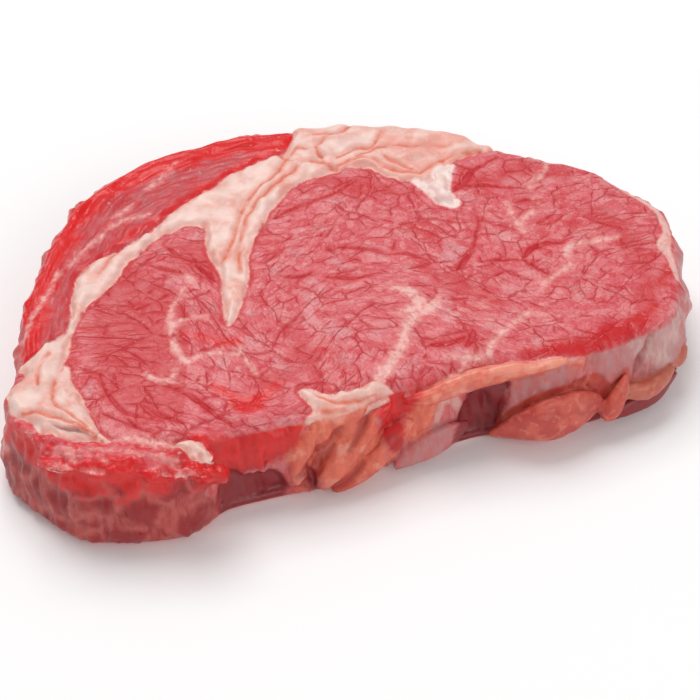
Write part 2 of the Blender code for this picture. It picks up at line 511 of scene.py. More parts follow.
@dataclass(frozen=True)
class TissueMap:
    """Where each tissue lies, in millimetres from the landmark.

    Outlines on the cut face hold x and y, and those that end in _wall hold x and height. Where a
    row has a third number, it is half the width of a tapering line.
    """

    back_fat: Line = (
        (-18, 49), (-21.5, 48), (-25, 46), (-32, 41), (-37.5, 35.5), (-44.5, 28.5), (-49, 23),
        (-53, 17.5), (-59.5, 12), (-64, 8), (-67.5, 4.5), (-70.5, -1), (-71, -9), (-70.5, -15),
        (-71, -21), (-70.5, -23), (-69.2, -21), (-68, -15.5), (-66.5, -11), (-63.5, -7), (-60.5, -2),
        (-58.5, 3.5), (-56, 7.5), (-52, 13.5), (-49.5, 16), (-46.6, 17.5), (-43.9, 19.6), (-38.6, 19),
        (-38, 13), (-36.8, 8), (-34.5, 3.5), (-33, -1), (-32.6, -8), (-31.8, -14), (-30.8, -18.5),
        (-29.2, -17), (-27, -8), (-26, 0), (-26.4, 8), (-24.7, 16), (-22.5, 22.4), (-18.6, 30.4),
        (-14.2, 36.7), (-9.3, 39.9), (-3.9, 41.2), (-1, 43.1), (2.7, 43.4), (6.1, 42.5), (9.4, 39.6),
        (13.9, 38), (18.8, 37.4), (20.8, 34.8), (22.6, 31.2), (23.6, 28.8), (27.4, 28.6), (27.6, 31),
        (26.2, 34.2), (26.4, 37), (25.4, 41.5), (28, 45.5), (32.9, 48.6), (38, 51), (42, 55), (42, 68),
        (10, 74), (-17, 70), (-15.5, 58), (-17, 52),
    )
    left_fat: Line = (
        (-70.5, -21), (-73.5, -23.5), (-77, -27), (-81.5, -31.5), (-79.5, -35.5), (-83, -39), (-83, -45),
        (-80.5, -48.5), (-78.5, -49.5), (-76.6, -51), (-74.6, -53.9), (-70, -55), (-65, -56), (-60, -56),
        (-57, -56.2), (-58.3, -55), (-61.7, -51.8), (-64.4, -47.9), (-67, -43.5), (-69.6, -38.5),
        (-71, -34), (-69.8, -29.9), (-69.5, -25),
    )
    tail_bit: Line = (
        (-42, -57.7), (-38.5, -56.6), (-35.6, -57), (-33.4, -59.8), (-32, -62), (-34.5, -63),
        (-37.4, -60.5), (-40.6, -59.3),
    )
    front_fat: Line = (
        (-13, -40.8), (-10, -39.6), (-6, -41), (-2, -40.4), (2, -39.5), (5, -37.2), (9, -37.5),
        (11, -39.5), (6, -43), (0, -46), (-5, -48.8), (-9.6, -50.2), (-10.6, -48), (-9, -45.5),
    )
    rim_fat: Line = (
        (63, -26.4, 0.1), (57, -27.4, 0.1), (51, -28.8, 0.5), (45, -30.2, 0.8), (38, -31.6, 1.4),
        (32, -32.8, 1.9), (26, -35, 2.0), (20, -38, 1.4), (14, -40.5, 0.8),
    )
    right_rim: Line = (
        (73, 35, 0.6), (78, 30.5, 0.9), (82.5, 24, 1.2), (83.4, 17, 1.1), (82, 12, 1.8), (83, 8, 1.1),
        (84.5, 0, 0.6),
    )
    veins: Lines = (
        ((11, -5, 1.0), (14, -6, 1.7), (17, -9.5, 1.7), (18, -12, 1.9), (16, -15, 1.5), (14, -19, 1.3),
         (13, -25, 1.4), (10, -31, 1.6), (7.5, -36, 1.9), (5.5, -40, 2.2)),
        ((13, -13.5, 0.7), (17, -12.4, 1.6), (20.5, -12, 1.7), (22, -9.5, 0.8)),
        ((49, -14.5, 0.4), (45, -14, 1.0), (41, -18, 0.6), (37, -22, 0.8), (35, -26, 0.9),
         (33, -28.5, 1.0), (28, -29, 0.9), (24, -29.5, 0.5)),
        ((29, -28, 0.6), (27, -33, 0.8), (21, -38, 0.9)),
        ((70, 14.5, 0.2), (66, 13.6, 0.6), (62, 13, 0.9), (58, 11, 0.9), (56, 8, 0.8)),
        ((57, 4.5, 0.9), (54, 1, 0.6), (50, -3, 0.45), (48, -7, 0.3)),
        ((42, 28, 0.4), (43, 23, 0.5), (44.5, 18.5, 0.7), (46, 16, 0.3)),
        ((48.5, 24.5, 0.5), (46, 21.5, 0.4), (44.5, 18.5, 0.5)),
        ((-42, -4, 0.4), (-45, -12, 0.5), (-45, -18, 0.7), (-44, -25, 0.7), (-42, -29, 0.8),
         (-40, -31, 0.9), (-37, -29, 0.5), (-33, -28, 0.4), (-28, -29, 0.4), (-27, -26, 0.3)),
        ((-44.5, -18, 0.5), (-40, -16.5, 0.4), (-36, -15.5, 0.2)),
        ((-41.8, -0.6, 0.9), (-41, -2.4, 0.7)),
        ((-50, -35.6, 0.3), (-47, -37, 0.8), (-44, -37.2, 0.9), (-42.8, -34, 0.3)),
        ((-45, -37.4, 0.6), (-41, -38.4, 0.2)),
        ((-26, -30, 0.3), (-23, -35, 0.3)),
        ((-57.4, -56.1, 0.5), (-51.9, -55.5, 0.6), (-47.8, -57.1, 0.9), (-41.4, -58.2, 1.0)),
        ((-70, -59.5, 0.1), (-63, -60.4, 0.2), (-57.6, -63.5, 0.1)),
        ((-56, -60, 0.1), (-50, -60.6, 0.2), (-44, -62.4, 0.1), (-38, -65, 0.1), (-33, -66, 0.1)),
        ((-81.5, -22, 0.5), (-80, -14.6, 0.6), (-77, -6, 0.5), (-75.3, 1, 0.3)),
        ((-72.7, 3.9, 0.5), (-70.4, 8.6, 0.5), (-67.6, 13.3, 0.5), (-62.5, 20, 0.4), (-58.3, 23, 0.4),
         (-53.9, 24.2, 0.2)),
        ((-62.8, 23.6, 0.3), (-60.5, 25.5, 0.4), (-57.1, 28.9, 0.2)),
        ((-54.6, 34.2, 0.2), (-50.8, 39.3, 0.35), (-47.4, 44.4, 0.2)),
        ((53.5, 45, 0.5), (52.5, 41, 0.7), (48.5, 36.5, 0.4), (48.6, 31, 0.4), (51, 27.5, 0.3)),
    )
    cap: Line = (
        (-15, 70), (-17, 52), (-25, 46), (-32, 41), (-37.5, 35.5), (-44.5, 28.5), (-49, 23), (-52, 19),
        (-59.5, 11.5), (-64.5, 6.5), (-69, 3), (-71, -3), (-71, -15), (-72, -24), (-76, -30), (-95, -36),
        (-98, 0), (-85, 40), (-50, 75),
    )
    tail: Line = (
        (-100, -50), (-80, -48.8), (-75, -53), (-68, -55.6), (-60, -56), (-50, -57), (-42, -57.6),
        (-36, -57), (-32, -61.5), (-28, -64), (-29, -80), (-60, -90), (-100, -80),
    )
    cap_seam: Line = (
        (-71, -6, 0.3), (-69, 1, 0.6), (-60, 14.5, 0.7), (-53.6, 20, 0.8), (-48.2, 25.5, 0.8),
        (-40.5, 33.5, 1.1), (-34, 40, 1.0), (-29, 44.8, 1.3), (-22, 49.5, 2.2), (-19, 54, 2.6),
        (-17.5, 60, 2.4),
    )
    blood: Lines = (
        ((-37, -55.5, 1.0), (-31, -57.5, 3.2), (-24, -59, 3.6), (-16, -57, 3.2), (-11, -54.5, 2.0)),
        ((-33, -39, 0.6), (-28, -43.5, 1.4), (-24.5, -45.5, 3.0), (-21, -42.5, 1.6), (-17, -38.5, 0.6)),
        ((-41, -21.6, 0.3), (-35, -23.4, 0.8), (-30, -24, 1.3), (-26.5, -24.6, 0.4)),
        ((43, -27.6, 1.1), (50, -26.6, 2.0), (58, -24.6, 2.6), (66, -20.6, 2.8), (72, -16, 2.2),
         (78, -10, 1.2)),
        ((16, -38, 1.0), (21, -36.6, 1.6), (24, -36, 0.9)),
        ((-80, -20, 0.3), (-82.5, -12, 1.8), (-82.4, 0, 2.4), (-79.5, 11, 2.6), (-75, 21, 3.0),
         (-69, 31, 3.4), (-60, 40, 3.8), (-50, 47.5, 4.2), (-38, 54.5, 4.2), (-27, 58.5, 4.0),
         (-18, 59.5, 2.6)),
        ((-73, -63, 1.0), (-64, -65, 2.0), (-54, -65, 2.6), (-46, -66.5, 1.9), (-38, -68.4, 2.4),
         (-31, -66.5, 2.6), (-29.5, -63.5, 1.4)),
        ((80, -2, 1.0), (83, 4, 1.2), (82.5, 10, 0.4)),
    )
    gashes: Lines = (
        ((28, 34.7, 0.3), (33, 35.4, 0.6), (40, 34.6, 0.6), (47, 34.4, 0.3)),
        ((33, 28, 0.1), (34, 20, 0.3), (33, 15, 0.4), (32, 10, 0.3), (29.5, 5, 0.8), (27.5, 2, 0.4)),
        ((-6, 10, 0.2), (-1, 10.8, 0.4), (5, 10, 0.5), (10, 8, 0.3), (15, 8, 0.5), (20, 5.5, 0.3)),
        ((35, 5.5, 0.3), (40, 5.8, 0.6), (45, 5.5, 0.5), (50, 1, 0.5), (53.5, -0.6, 0.2)),
        ((45, 6.4, 0.4), (47.5, 10, 0.9), (52, 12.2, 0.6), (56, 12.4, 0.2)),
        ((-6, -0.6, 0.2), (0, -0.8, 0.6), (6, 0, 0.2)),
        ((-18, 0.4, 0.2), (-13, -0.4, 0.6), (-9, 1.6, 0.2)),
        ((44, 28.2, 0.3), (47, 29.6, 0.5), (49, 30, 0.2)),
        ((49, 36.6, 0.3), (52, 39.6, 1.0), (54.5, 43.6, 0.4)),
        ((28, 33.4, 0.4), (31, 37.2, 1.2), (33.4, 42, 0.7), (40, 47, 0.3)),
        ((63, 22, 0.2), (67, 19.6, 0.4), (72, 18, 0.2)),
        ((30, -22, 0.3), (24.5, -24.4, 0.8), (19, -25, 0.3)),
        ((31, -20, 0.5), (30.4, -23, 1.0), (29, -25.4, 0.5)),
        ((-20, 22.5, 0.2), (-15, 26.5, 0.5), (-9, 29.5, 0.4), (-3, 33, 0.5), (2, 38, 0.2)),
        ((-3, 33, 0.3), (2, 30.5, 0.3), (3.4, 36, 0.3)),
        ((-61.5, -35.1, 0.2), (-58.9, -41.8, 0.5), (-54, -47.9, 0.4), (-46.3, -50.1, 0.2)),
        ((-50.9, -36.2, 0.2), (-45, -39, 0.4), (-38.7, -42.9, 0.7), (-32.4, -48.5, 0.6),
         (-28.3, -51.8, 0.3)),
        ((-49.8, -45.2, 0.2), (-45.2, -49, 0.5), (-40.2, -51.2, 0.2)),
        ((-54.4, -49, 0.2), (-50, -53.2, 0.4), (-46, -54, 0.2)),
        ((-48, 12, 0.3), (-45.5, 8.4, 0.6), (-41, 6, 0.6), (-37, 5.4, 0.3)),
        ((-52, 4, 0.2), (-47, 2.4, 0.6), (-43, 1, 0.3)),
        ((-40, 4, 0.3), (-36.5, 1, 0.9), (-34.6, -2.4, 0.4)),
    )
    creases: Lines = (
        ((-17.5, 46), (-20.5, 39), (-25.2, 33), (-28, 27.5), (-29.6, 20), (-30.8, 12), (-33, 5)),
        ((-12.7, 45), (-15.9, 41.2), (-20, 35.5), (-23.9, 30.4), (-27, 24.2), (-28.3, 15.7), (-28.8, 7.4),
         (-28.2, 1.6)),
        ((-18.6, 48.3), (-16.9, 45.7), (-13.1, 45.7), (-9.3, 45.4), (-5.6, 43.1), (-3.5, 42.1)),
        ((-3.5, 43), (-1, 45), (2.8, 46), (6.1, 45.4), (9.8, 42.4), (13.9, 41), (18.9, 40)),
        ((-3.5, 46.7), (1.9, 49.9), (6.1, 50.9), (7.4, 54.2), (9.1, 58)),
        ((1.9, 46.7), (4.9, 48.6), (7.4, 50.6), (12.9, 51.9), (19, 51.4), (27, 51.6)),
        ((-10, 55.9), (-5.7, 56.2), (-1.9, 58.5), (0, 62)),
        ((-17.3, 46.7), (-14.4, 50.3), (-10.2, 50.6), (-7.8, 53.5), (-5.2, 56.2)),
        ((-9.4, 50.3), (-9, 47.6), (-7.7, 46.3)),
        ((18.9, 39.8), (21, 42.2), (24.9, 45.4), (30, 48.7), (36, 50.5)),
        ((9.4, 46.7), (12.3, 44.4), (16.8, 41.5)),
        ((-72.1, -38), (-72, -44.6), (-68.3, -49), (-62.9, -53)),
        ((-79, -48.2), (-76, -48.4), (-72, -50), (-66.4, -52.6), (-61, -54.8)),
        ((-74, -30), (-76.5, -35), (-76, -40)),
        ((-60, 11), (-63, 4.6), (-64.6, 1)),
        ((-8, -42.4), (-4, -44.2), (1, -43.4), (6, -41), (9, -39.6)),
        ((-7, -46.4), (-3, -46.2), (2, -44.8)),
    )
    warm_wall: Lines = (
        ((-15, 27), (-16, 16), (-12, 8), (-14, 0), (4, 0), (9, 6), (8, 20), (5, 27)),
        ((8, 0), (12, 8), (20, 12), (24, 22), (39, 21.5), (52, 24), (60, 26), (60, 28), (14, 28),
         (16, 20), (10, 14)),
        ((54.6, 25), (55.4, 21.6), (57.4, 20.4), (58.6, 22), (61, 25)),
    )
    coral_wall: Lines = (
        ((48, 8), (50.4, 12.4), (53.4, 16), (57, 18), (61, 18), (64.4, 15.4), (66, 11), (64, 7), (56, 6)),
    )
    # Dark red muscle on the wall; the hollows and the strip under the flaps are painted dark partly as
    # painted shade.
    maroon_wall: Lines = (
        ((23, -2), (26.5, 10), (29, 15), (30, 20.5), (38.6, 20.5), (39.5, 15), (38, 9), (37, -2)),
        ((-31, 14), (-25, 12), (-18, 11), (-15, 6), (-17, -1), (-32, -1)),
        ((-11, 11), (-8, 9), (-6.4, 5), (-8, 1), (-10, 4)),
        ((58, -2), (60, 7), (65, 12), (70, 9), (77, 8), (84, 10), (90, 8), (90, -2)),
    )
    rich: Lines = (
        ((-60, 2, 6), (-55, -6, 9), (-52, -20, 13), (-50, -34, 12), (-46, -46, 7)),
        ((-42, 8, 5), (-37, 2, 3)),
        ((-16, -21, 1), (-12, -25, 2.5), (-10, -31, 3), (-14, -36, 2.5), (-22, -40, 3)),
        ((-8, 38, 2), (0, 36, 3), (8, 34, 3.5), (12, 32, 2)),
        ((24, -2, 2), (30, -5, 3), (36, -9, 2)),
        ((22, -24, 2), (30, -25, 2.5)),
        ((66, 24, 2), (72, 16, 3), (77, 4, 3), (76, -6, 3)),
        ((36, 38, 2), (48, 42, 3), (58, 40, 2)),
    )
    membrane_wall: Lines = (
        ((40, 21), (46, 24), (55, 24.5), (53.5, 17), (48, 13), (41.5, 8), (40, 14)),
        ((58, 24), (66, 25), (74, 25), (82, 25), (92, 25), (92, 10), (80, 11), (70, 15), (62, 17)),
        ((14, 2), (15, 9), (20, 13), (25, 12), (26, 5), (22, 1)),
    )
    silver_wall: Lines = (
        ((69, 26), (74, 26.5), (79, 27), (84, 27), (84, 12), (81, 11), (78, 14), (74, 18), (71, 21)),
    )
    # Creases on the wall, sunk and painted dark red as painted shade.
    furrows: Lines = (
        ((-13, 9.6, 0.2), (-9.1, 14.7, 0.7), (-5.9, 17.1, 0.6), (-2.2, 20.7, 0.2)),
        ((-12.5, 5.6, 0.4), (-9.2, 9.4, 1.2), (-6.7, 13.4, 0.9), (-4.2, 16.4, 0.2)),
        ((-8.8, 2.4, 0.3), (-5.1, 3.4, 0.6), (-1, 5.4, 0.6), (3.1, 9.1, 0.2)),
        ((0, 15, 0.2), (2.6, 19, 0.5), (5.4, 23, 0.2)),
        ((72, 15, 0.2), (73.6, 19, 0.3), (76, 24, 0.1)),
    )
    red_wall: Lines = (
        ((6, 28), (6.5, 18), (9, 12), (13, 11), (14, 16), (17, 21), (20, 26), (19, 28)),
        ((-36, 28), (-36, 14), (-24, 13), (-15, 16), (-12, 22), (-14, 28)),
    )
    swirls: tuple[Swirl, ...] = (
        Swirl(-6, -24, 24, 46),
        Swirl(66, -4, 30, 30),
        Swirl(-46, -44, 24, -32),
        Swirl(-56, -4, 20, 36),
        Swirl(-12, 32, 18, 32),
    )
    wander: float = 3.0
    wander_size: float = 16.0
    wander_seeds: tuple = (21, 22)
    wander_top: float = 24.0
    wander_fade: float = 10.0
    back: tuple = (-4, 8)
    right_end: tuple = (66, 74)
    right_shift: float = 14.0
    depth_of_grain: float = 0.3

    def union(self, places: np.ndarray, lines: Lines) -> np.ndarray:
        """Measures how deep places lie in some tapering lines.

        Args:
            places: Points, two numbers a row.
            lines: The lines, whose rows end with half the width.

        Returns:
            The depth of each place in the line that holds it deepest.
        """
        best = np.full(len(places), -REACH)
        for line in lines:
            path = curve(line, steps=3)
            near = close_to(places, path)
            distance, radius = nearest(places[near], path)
            best[near] = np.maximum(best[near], radius[:, 0] - distance)
        return best

    def areas(self, places: np.ndarray, outlines: Lines) -> np.ndarray:
        """Measures how deep places lie in some outlines.

        Args:
            places: Points, two numbers a row.
            outlines: The closed outlines.

        Returns:
            The depth of each place in the outline that holds it deepest.
        """
        best = np.full(len(places), -REACH)
        for outline in outlines:
            path = curve(outline, True, 3)
            near = close_to(places, path)
            best[near] = np.maximum(best[near], depth_in(places[near], path))
        return best

    def creased(self, places: np.ndarray) -> np.ndarray:
        """Measures how far places are from the nearest crease of the fat."""
        return -self.union(places, tuple(tuple((*spot, 0.0) for spot in line) for line in self.creases))

    def grain(self, flat: np.ndarray) -> np.ndarray:
        """Gives coordinates that follow the muscle's grain.

        Args:
            flat: Points on the cut face, in millimetres.

        Returns:
            The coordinates, in millimetres.
        """
        for swirl in self.swirls:
            flat = swirl.bend(flat)
        return flat

    def measure(self, places: np.ndarray) -> dict[Tissue, np.ndarray]:
        """Measures every tissue.

        Args:
            places: Points in millimetres from the landmark, three numbers a row.

        Returns:
            For each tissue, how deep each point lies in it, in millimetres.
        """
        # Below the rim the borders wander, so that no tissue runs straight down the wall.
        sideways = np.column_stack([Waves(seed, self.wander_size).at(places) for seed in self.wander_seeds])
        under = smooth_step(self.wander_top - places[:, 2], 0, self.wander_fade)
        flat = places[:, :2] + self.wander * under[:, None] * sideways
        front = places[:, [0, 2]]
        outlines = (self.back_fat, self.left_fat, self.tail_bit, self.front_fat)
        # What lies on the front wall doesn't show through at the back.
        shift = self.right_shift * smooth_step(places[:, 0], *self.right_end)
        hidden = 4 * REACH * smooth_step(places[:, 1] - shift, *self.back)
        return {
            Tissue.FAT: self.areas(flat, outlines),
            Tissue.RIM: self.union(flat, (self.rim_fat, self.right_rim)),
            Tissue.VEIN: self.union(flat, self.veins) - 0.1,
            Tissue.CAP: self.areas(flat, (self.cap,)),
            Tissue.TAIL: self.areas(flat, (self.tail,)),
            Tissue.BLOOD: np.maximum(self.union(flat, self.blood), self.union(flat, (self.cap_seam,))),
            Tissue.GASH: self.union(flat, self.gashes),
            Tissue.RICH: self.union(flat, self.rich),
            Tissue.MEMBRANE: self.areas(front, self.membrane_wall) - hidden,
            Tissue.SILVER: self.areas(front, self.silver_wall) - hidden,
            Tissue.MAROON: self.areas(front, self.maroon_wall) - hidden,
            Tissue.WARM_FAT: self.areas(front, self.warm_wall) - hidden,
            Tissue.RED: self.areas(front, self.red_wall) - hidden,
            Tissue.FURROW: self.union(front, self.furrows) - hidden,
            Tissue.CORAL: self.areas(front, self.coral_wall) - hidden,
            Tissue.TAN: np.full(len(places), -REACH),
            Tissue.WHITE: np.full(len(places), -REACH),
        }


# ---------------------------------------------------------------- meshes


def triples(rows: Any, name: str) -> np.ndarray:
    """Reads a property of three numbers.

    Args:
        rows: The mesh's vertices, or an attribute's data.
        name: The property.

    Returns:
        The numbers, three a row.
    """
    flat = np.empty(len(rows) * 3, np.float32)
    rows.foreach_get(name, flat)
    return flat.reshape(-1, 3).astype(float)


def positions(mesh: bpy.types.Mesh) -> np.ndarray:
    """Reads the places of a mesh's vertices, three numbers a row."""
    return triples(mesh.vertices, "co")


def normals(mesh: bpy.types.Mesh) -> np.ndarray:
    """Reads the outward directions at a mesh's vertices, three numbers a row."""
    return triples(mesh.vertices, "normal")


def merged_solid() -> bmesh.types.BMesh:
    """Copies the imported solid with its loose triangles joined.

    Returns:
        The copy, which its user frees.
    """
    solid = bmesh.new()
    solid.from_mesh(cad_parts[NODE].data)
    bmesh.ops.remove_doubles(solid, verts=solid.verts, dist=0.001 * MM)
    return solid


def place(mesh: bpy.types.Mesh, places: np.ndarray) -> None:
    """Moves a mesh's vertices to the given places."""
    mesh.vertices.foreach_set("co", places.astype(np.float32).ravel())
    mesh.update()


def write(mesh: bpy.types.Mesh, name: str, values: np.ndarray) -> None:
    """Stores values for the vertices, under a name that shaders can read.

    Args:
        mesh: The mesh.
        name: The attribute's name.
        values: One number or one row of three numbers for each vertex.
    """
    vector = values.ndim == 2
    layer = mesh.attributes.get(name)
    if layer is None:
        layer = mesh.attributes.new(name, "FLOAT_VECTOR" if vector else "FLOAT", "POINT")
    layer.data.foreach_set("vector" if vector else "value", values.astype(np.float32).ravel())


def applied(piece: bpy.types.Object) -> None:
    """Makes a piece's modifiers part of its mesh."""
    graph = bpy.context.evaluated_depsgraph_get()
    mesh = bpy.data.meshes.new_from_object(piece.evaluated_get(graph))
    piece.modifiers.clear()
    piece.data = mesh


def new_piece(name: str, mesh: bpy.types.Mesh) -> bpy.types.Object:
    """Adds a piece with the mesh to the scene, and gives it."""
    piece = bpy.data.objects.new(name, mesh)
    bpy.context.scene.collection.objects.link(piece)
    return piece


# ---------------------------------------------------------------- node trees


class Graph:
    """Writes a node tree as plain expressions; each method adds a node and gives its output."""

    def __init__(self, tree: bpy.types.NodeTree) -> None:
        """Keeps the tree to write to."""
        self.tree = tree

    def add(self, kind: str, inputs: dict[Any, Any], **settings: Any) -> bpy.types.Node:
        """Adds a node.

        Args:
            kind: The node's type.
            inputs: For each input's name or number, a value or another node's output.
            **settings: The node's own properties.

        Returns:
            The node.
        """
        node = self.tree.nodes.new(kind)
        for key, value in settings.items():
            setattr(node, key, value)
        for key, value in inputs.items():
            if isinstance(value, Socket):
                self.tree.links.new(value, node.inputs[key])
            else:
                node.inputs[key].default_value = value
        return node

    def maths(self, operation: str, *values: Socket | float) -> Socket:
        """Works out one operation on numbers."""
        return self.add("ShaderNodeMath", dict(enumerate(values)), operation=operation).outputs[0]

    def times(self, value: Socket | float, share: Socket | float) -> Socket:
        """Multiplies two numbers."""
        return self.maths("MULTIPLY", value, share)

    def plus(self, value: Socket, field: Socket, share: float) -> Socket:
        """Adds a share of a field to a value."""
        return self.maths("ADD", value, self.times(field, share))

    def axis(self, vector: Socket, name: str) -> Socket:
        """Picks the X, Y or Z of a vector."""
        return self.add("ShaderNodeSeparateXYZ", {0: vector}).outputs[name]

    def vectors(self, operation: str, *values: Any) -> Socket:
        """Works out one operation on vectors."""
        return self.add("ShaderNodeVectorMath", dict(enumerate(values)), operation=operation).outputs[0]

    def scaled(self, vector: Socket, scale: float) -> Socket:
        """Multiplies a vector by a number."""
        inputs = {"Vector": vector, "Scale": scale}
        return self.add("ShaderNodeVectorMath", inputs, operation="SCALE").outputs[0]

    def step(self, value: Socket, low: Socket | float, high: Socket | float) -> Socket:
        """Rises smoothly from 0 at low to 1 at high."""
        inputs = {"Value": value, "From Min": low, "From Max": high}
        return self.add("ShaderNodeMapRange", inputs, interpolation_type="SMOOTHSTEP").outputs[0]

    def between(self, value: Socket, low: float, high: float) -> Socket:
        """Spreads a value from 0 to 1 over the range from low to high."""
        return self.add("ShaderNodeMapRange", {"Value": value, "To Min": low, "To Max": high}).outputs[0]

    def blend(self, mask: Socket | float, under: Socket | Colour, over: Socket | Colour) -> Socket:
        """Lays one colour over another where the mask is 1."""
        return self.add("ShaderNodeMix", {0: mask, 6: under, 7: over}, data_type="RGBA").outputs[2]

    def tint(
        self, mask: Socket, share: Socket | float, under: Socket | Colour, over: Socket | Colour
    ) -> Socket:
        """Lays a share of one colour over another where the mask is 1."""
        return self.blend(self.times(mask, share), under, over)

    def noise(self, vector: Socket, size: float, detail: float = 2.0, rough: float = 0.5) -> Socket:
        """An uneven value from 0 to 1 whose patches are about size wide."""
        inputs = {"Vector": vector, "Scale": 1 / size, "Detail": detail, "Roughness": rough}
        return self.add("ShaderNodeTexNoise", inputs).outputs[0]

    def warp(self, vector: Socket, size: float, reach: float) -> Socket:
        """Pushes coordinates about.

        Args:
            vector: The coordinates.
            size: About how wide the patches are that move together.
            reach: How far they move at most.

        Returns:
            The moved coordinates.
        """
        noise = self.add("ShaderNodeTexNoise", {"Vector": vector, "Scale": 1 / size, "Detail": 1.0})
        push = self.vectors("SUBTRACT", noise.outputs[1], (0.5, 0.5, 0.5))
        return self.vectors("ADD", vector, self.scaled(push, 2 * reach))

    def cell_edge(self, vector: Socket, size: float, axes: str = "2D") -> Socket:
        """Measures how far a spot is from the nearest border between cells.

        Args:
            vector: The coordinates.
            size: About how wide a cell is.
            axes: Whether the cells are flat, 2D, or solid, 3D.

        Returns:
            The distance.
        """
        settings = {"feature": "DISTANCE_TO_EDGE", "voronoi_dimensions": axes}
        edge = self.add("ShaderNodeTexVoronoi", {"Vector": vector, "Scale": 1 / size}, **settings)
        return self.times(edge.outputs["Distance"], size)

    def cell_tone(self, vector: Socket, size: float) -> Socket:
        """Gives every cell a value of its own.

        Args:
            vector: The coordinates.
            size: About how wide a cell is.

        Returns:
            A value from 0 to 1 that is even within a cell.
        """
        inputs = {"Vector": vector, "Scale": 1 / size}
        cells = self.add("ShaderNodeTexVoronoi", inputs, voronoi_dimensions="2D")
        return self.axis(cells.outputs["Color"], "X")


@dataclass(frozen=True)
class Fissures:
    """The cracks between the muscle's fibre bundles: sizes in millimetres."""

    bundle: float = 4.4
    small_bundle: float = 2.2
    block: float = 12.0
    fine_width: float = 0.3
    small_width: float = 0.24
    wide_width: float = 0.5
    halo: float = 1.2
    stretch: tuple = (0.72, 1.0, 1.0)
    broad_bend: tuple = (15.0, 2.6)
    small_bend: tuple = (3.0, 0.6)

    def drawn(self, graph: Graph, grain: Socket) -> Socket:
        """Bends the grain's coordinates, so that the bundles come out uneven."""
        stretched = graph.vectors("MULTIPLY", grain, self.stretch)
        return graph.warp(graph.warp(stretched, *self.broad_bend), *self.small_bend)

    def masks(self, graph: Graph, grain: Socket) -> tuple[Socket, Socket, Socket]:
        """Writes the crack pattern, alike in a shader and in geometry nodes.

        Args:
            graph: The tree to write to.
            grain: Coordinates along the grain, in millimetres.

        Returns:
            The fine cracks, the wide ones, and the redder meat beside them: each from 0 to 1.
        """
        drawn = self.drawn(graph, grain)
        strength = graph.step(graph.noise(drawn, 4.5), 0.38, 0.62)
        fine_edge = graph.cell_edge(drawn, self.bundle)
        fine = graph.times(graph.step(fine_edge, self.fine_width, 0.03), strength)
        small = graph.step(graph.cell_edge(drawn, self.small_bundle), self.small_width, 0.0)
        small = graph.times(small, graph.step(graph.noise(grain, 7.0), 0.42, 0.62))
        wide_edge = graph.cell_edge(drawn, self.block)
        width = graph.times(graph.step(graph.noise(grain, 6.0), 0.42, 0.66), self.wide_width)
        wide = graph.step(wide_edge, graph.maths("ADD", width, 0.02), 0.0)
        halo = graph.times(graph.step(fine_edge, self.halo, 0.0), strength)
        halo = graph.maths("MAXIMUM", halo, graph.step(wide_edge, graph.times(width, 4.0), 0.0))
        return graph.maths("MAXIMUM", fine, graph.times(small, 0.5)), wide, halo


# ---------------------------------------------------------------- finishes


@dataclass(frozen=True)
class LeanColours:
    """The lean muscle's colours."""

    pink: Colour = srgb(218, 100, 108)
    red: Colour = srgb(206, 54, 60)
    rich: Colour = srgb(200, 42, 48)
    # A painted sheen: the pale lilac of soft highlights on the wet lean.
    sheen_lilac: Colour = srgb(212, 134, 138)
    pale: Colour = srgb(234, 156, 155)
    dusk: Colour = srgb(186, 50, 64)
    deep: Colour = srgb(190, 18, 32)
    wet: Colour = srgb(220, 22, 24)
    pool: Colour = srgb(202, 22, 28)
    brown: Colour = srgb(186, 86, 92)


@dataclass(frozen=True)
class FatColours:
    """The fat's colours."""

    cream: Colour = srgb(240, 206, 196)
    blush: Colour = srgb(232, 166, 152)
    amber: Colour = srgb(222, 100, 66)
    vein: Colour = srgb(230, 144, 140)
    pearl: Colour = srgb(238, 190, 182)
    white: Colour = srgb(246, 220, 214)


@dataclass(frozen=True)
class EdgeColours:
    """The colours of the membranes, folds and hollows on the side wall, with the painted highlight and the
    painted shade that are laid on them.
    """

    rose: Colour = srgb(202, 96, 90)
    silver: Colour = srgb(192, 128, 128)
    grey: Colour = srgb(206, 164, 158)
    # Dark red muscle, used also as painted shade in the hollows and under the flaps.
    maroon: Colour = srgb(140, 50, 54)
    red: Colour = srgb(220, 36, 34)
    orange: Colour = srgb(226, 112, 88)
    # A painted highlight: the pale peach laid on the warm folds and the flaps.
    peach_highlight: Colour = srgb(238, 158, 136)
    coral: Colour = srgb(186, 66, 58)
    tan: Colour = srgb(192, 106, 86)
    net: Colour = srgb(212, 110, 102)
    # Dark red of the tail's wall and of streaks, and painted shade in the furrows and toward the floor.
    dark: Colour = srgb(152, 33, 36)


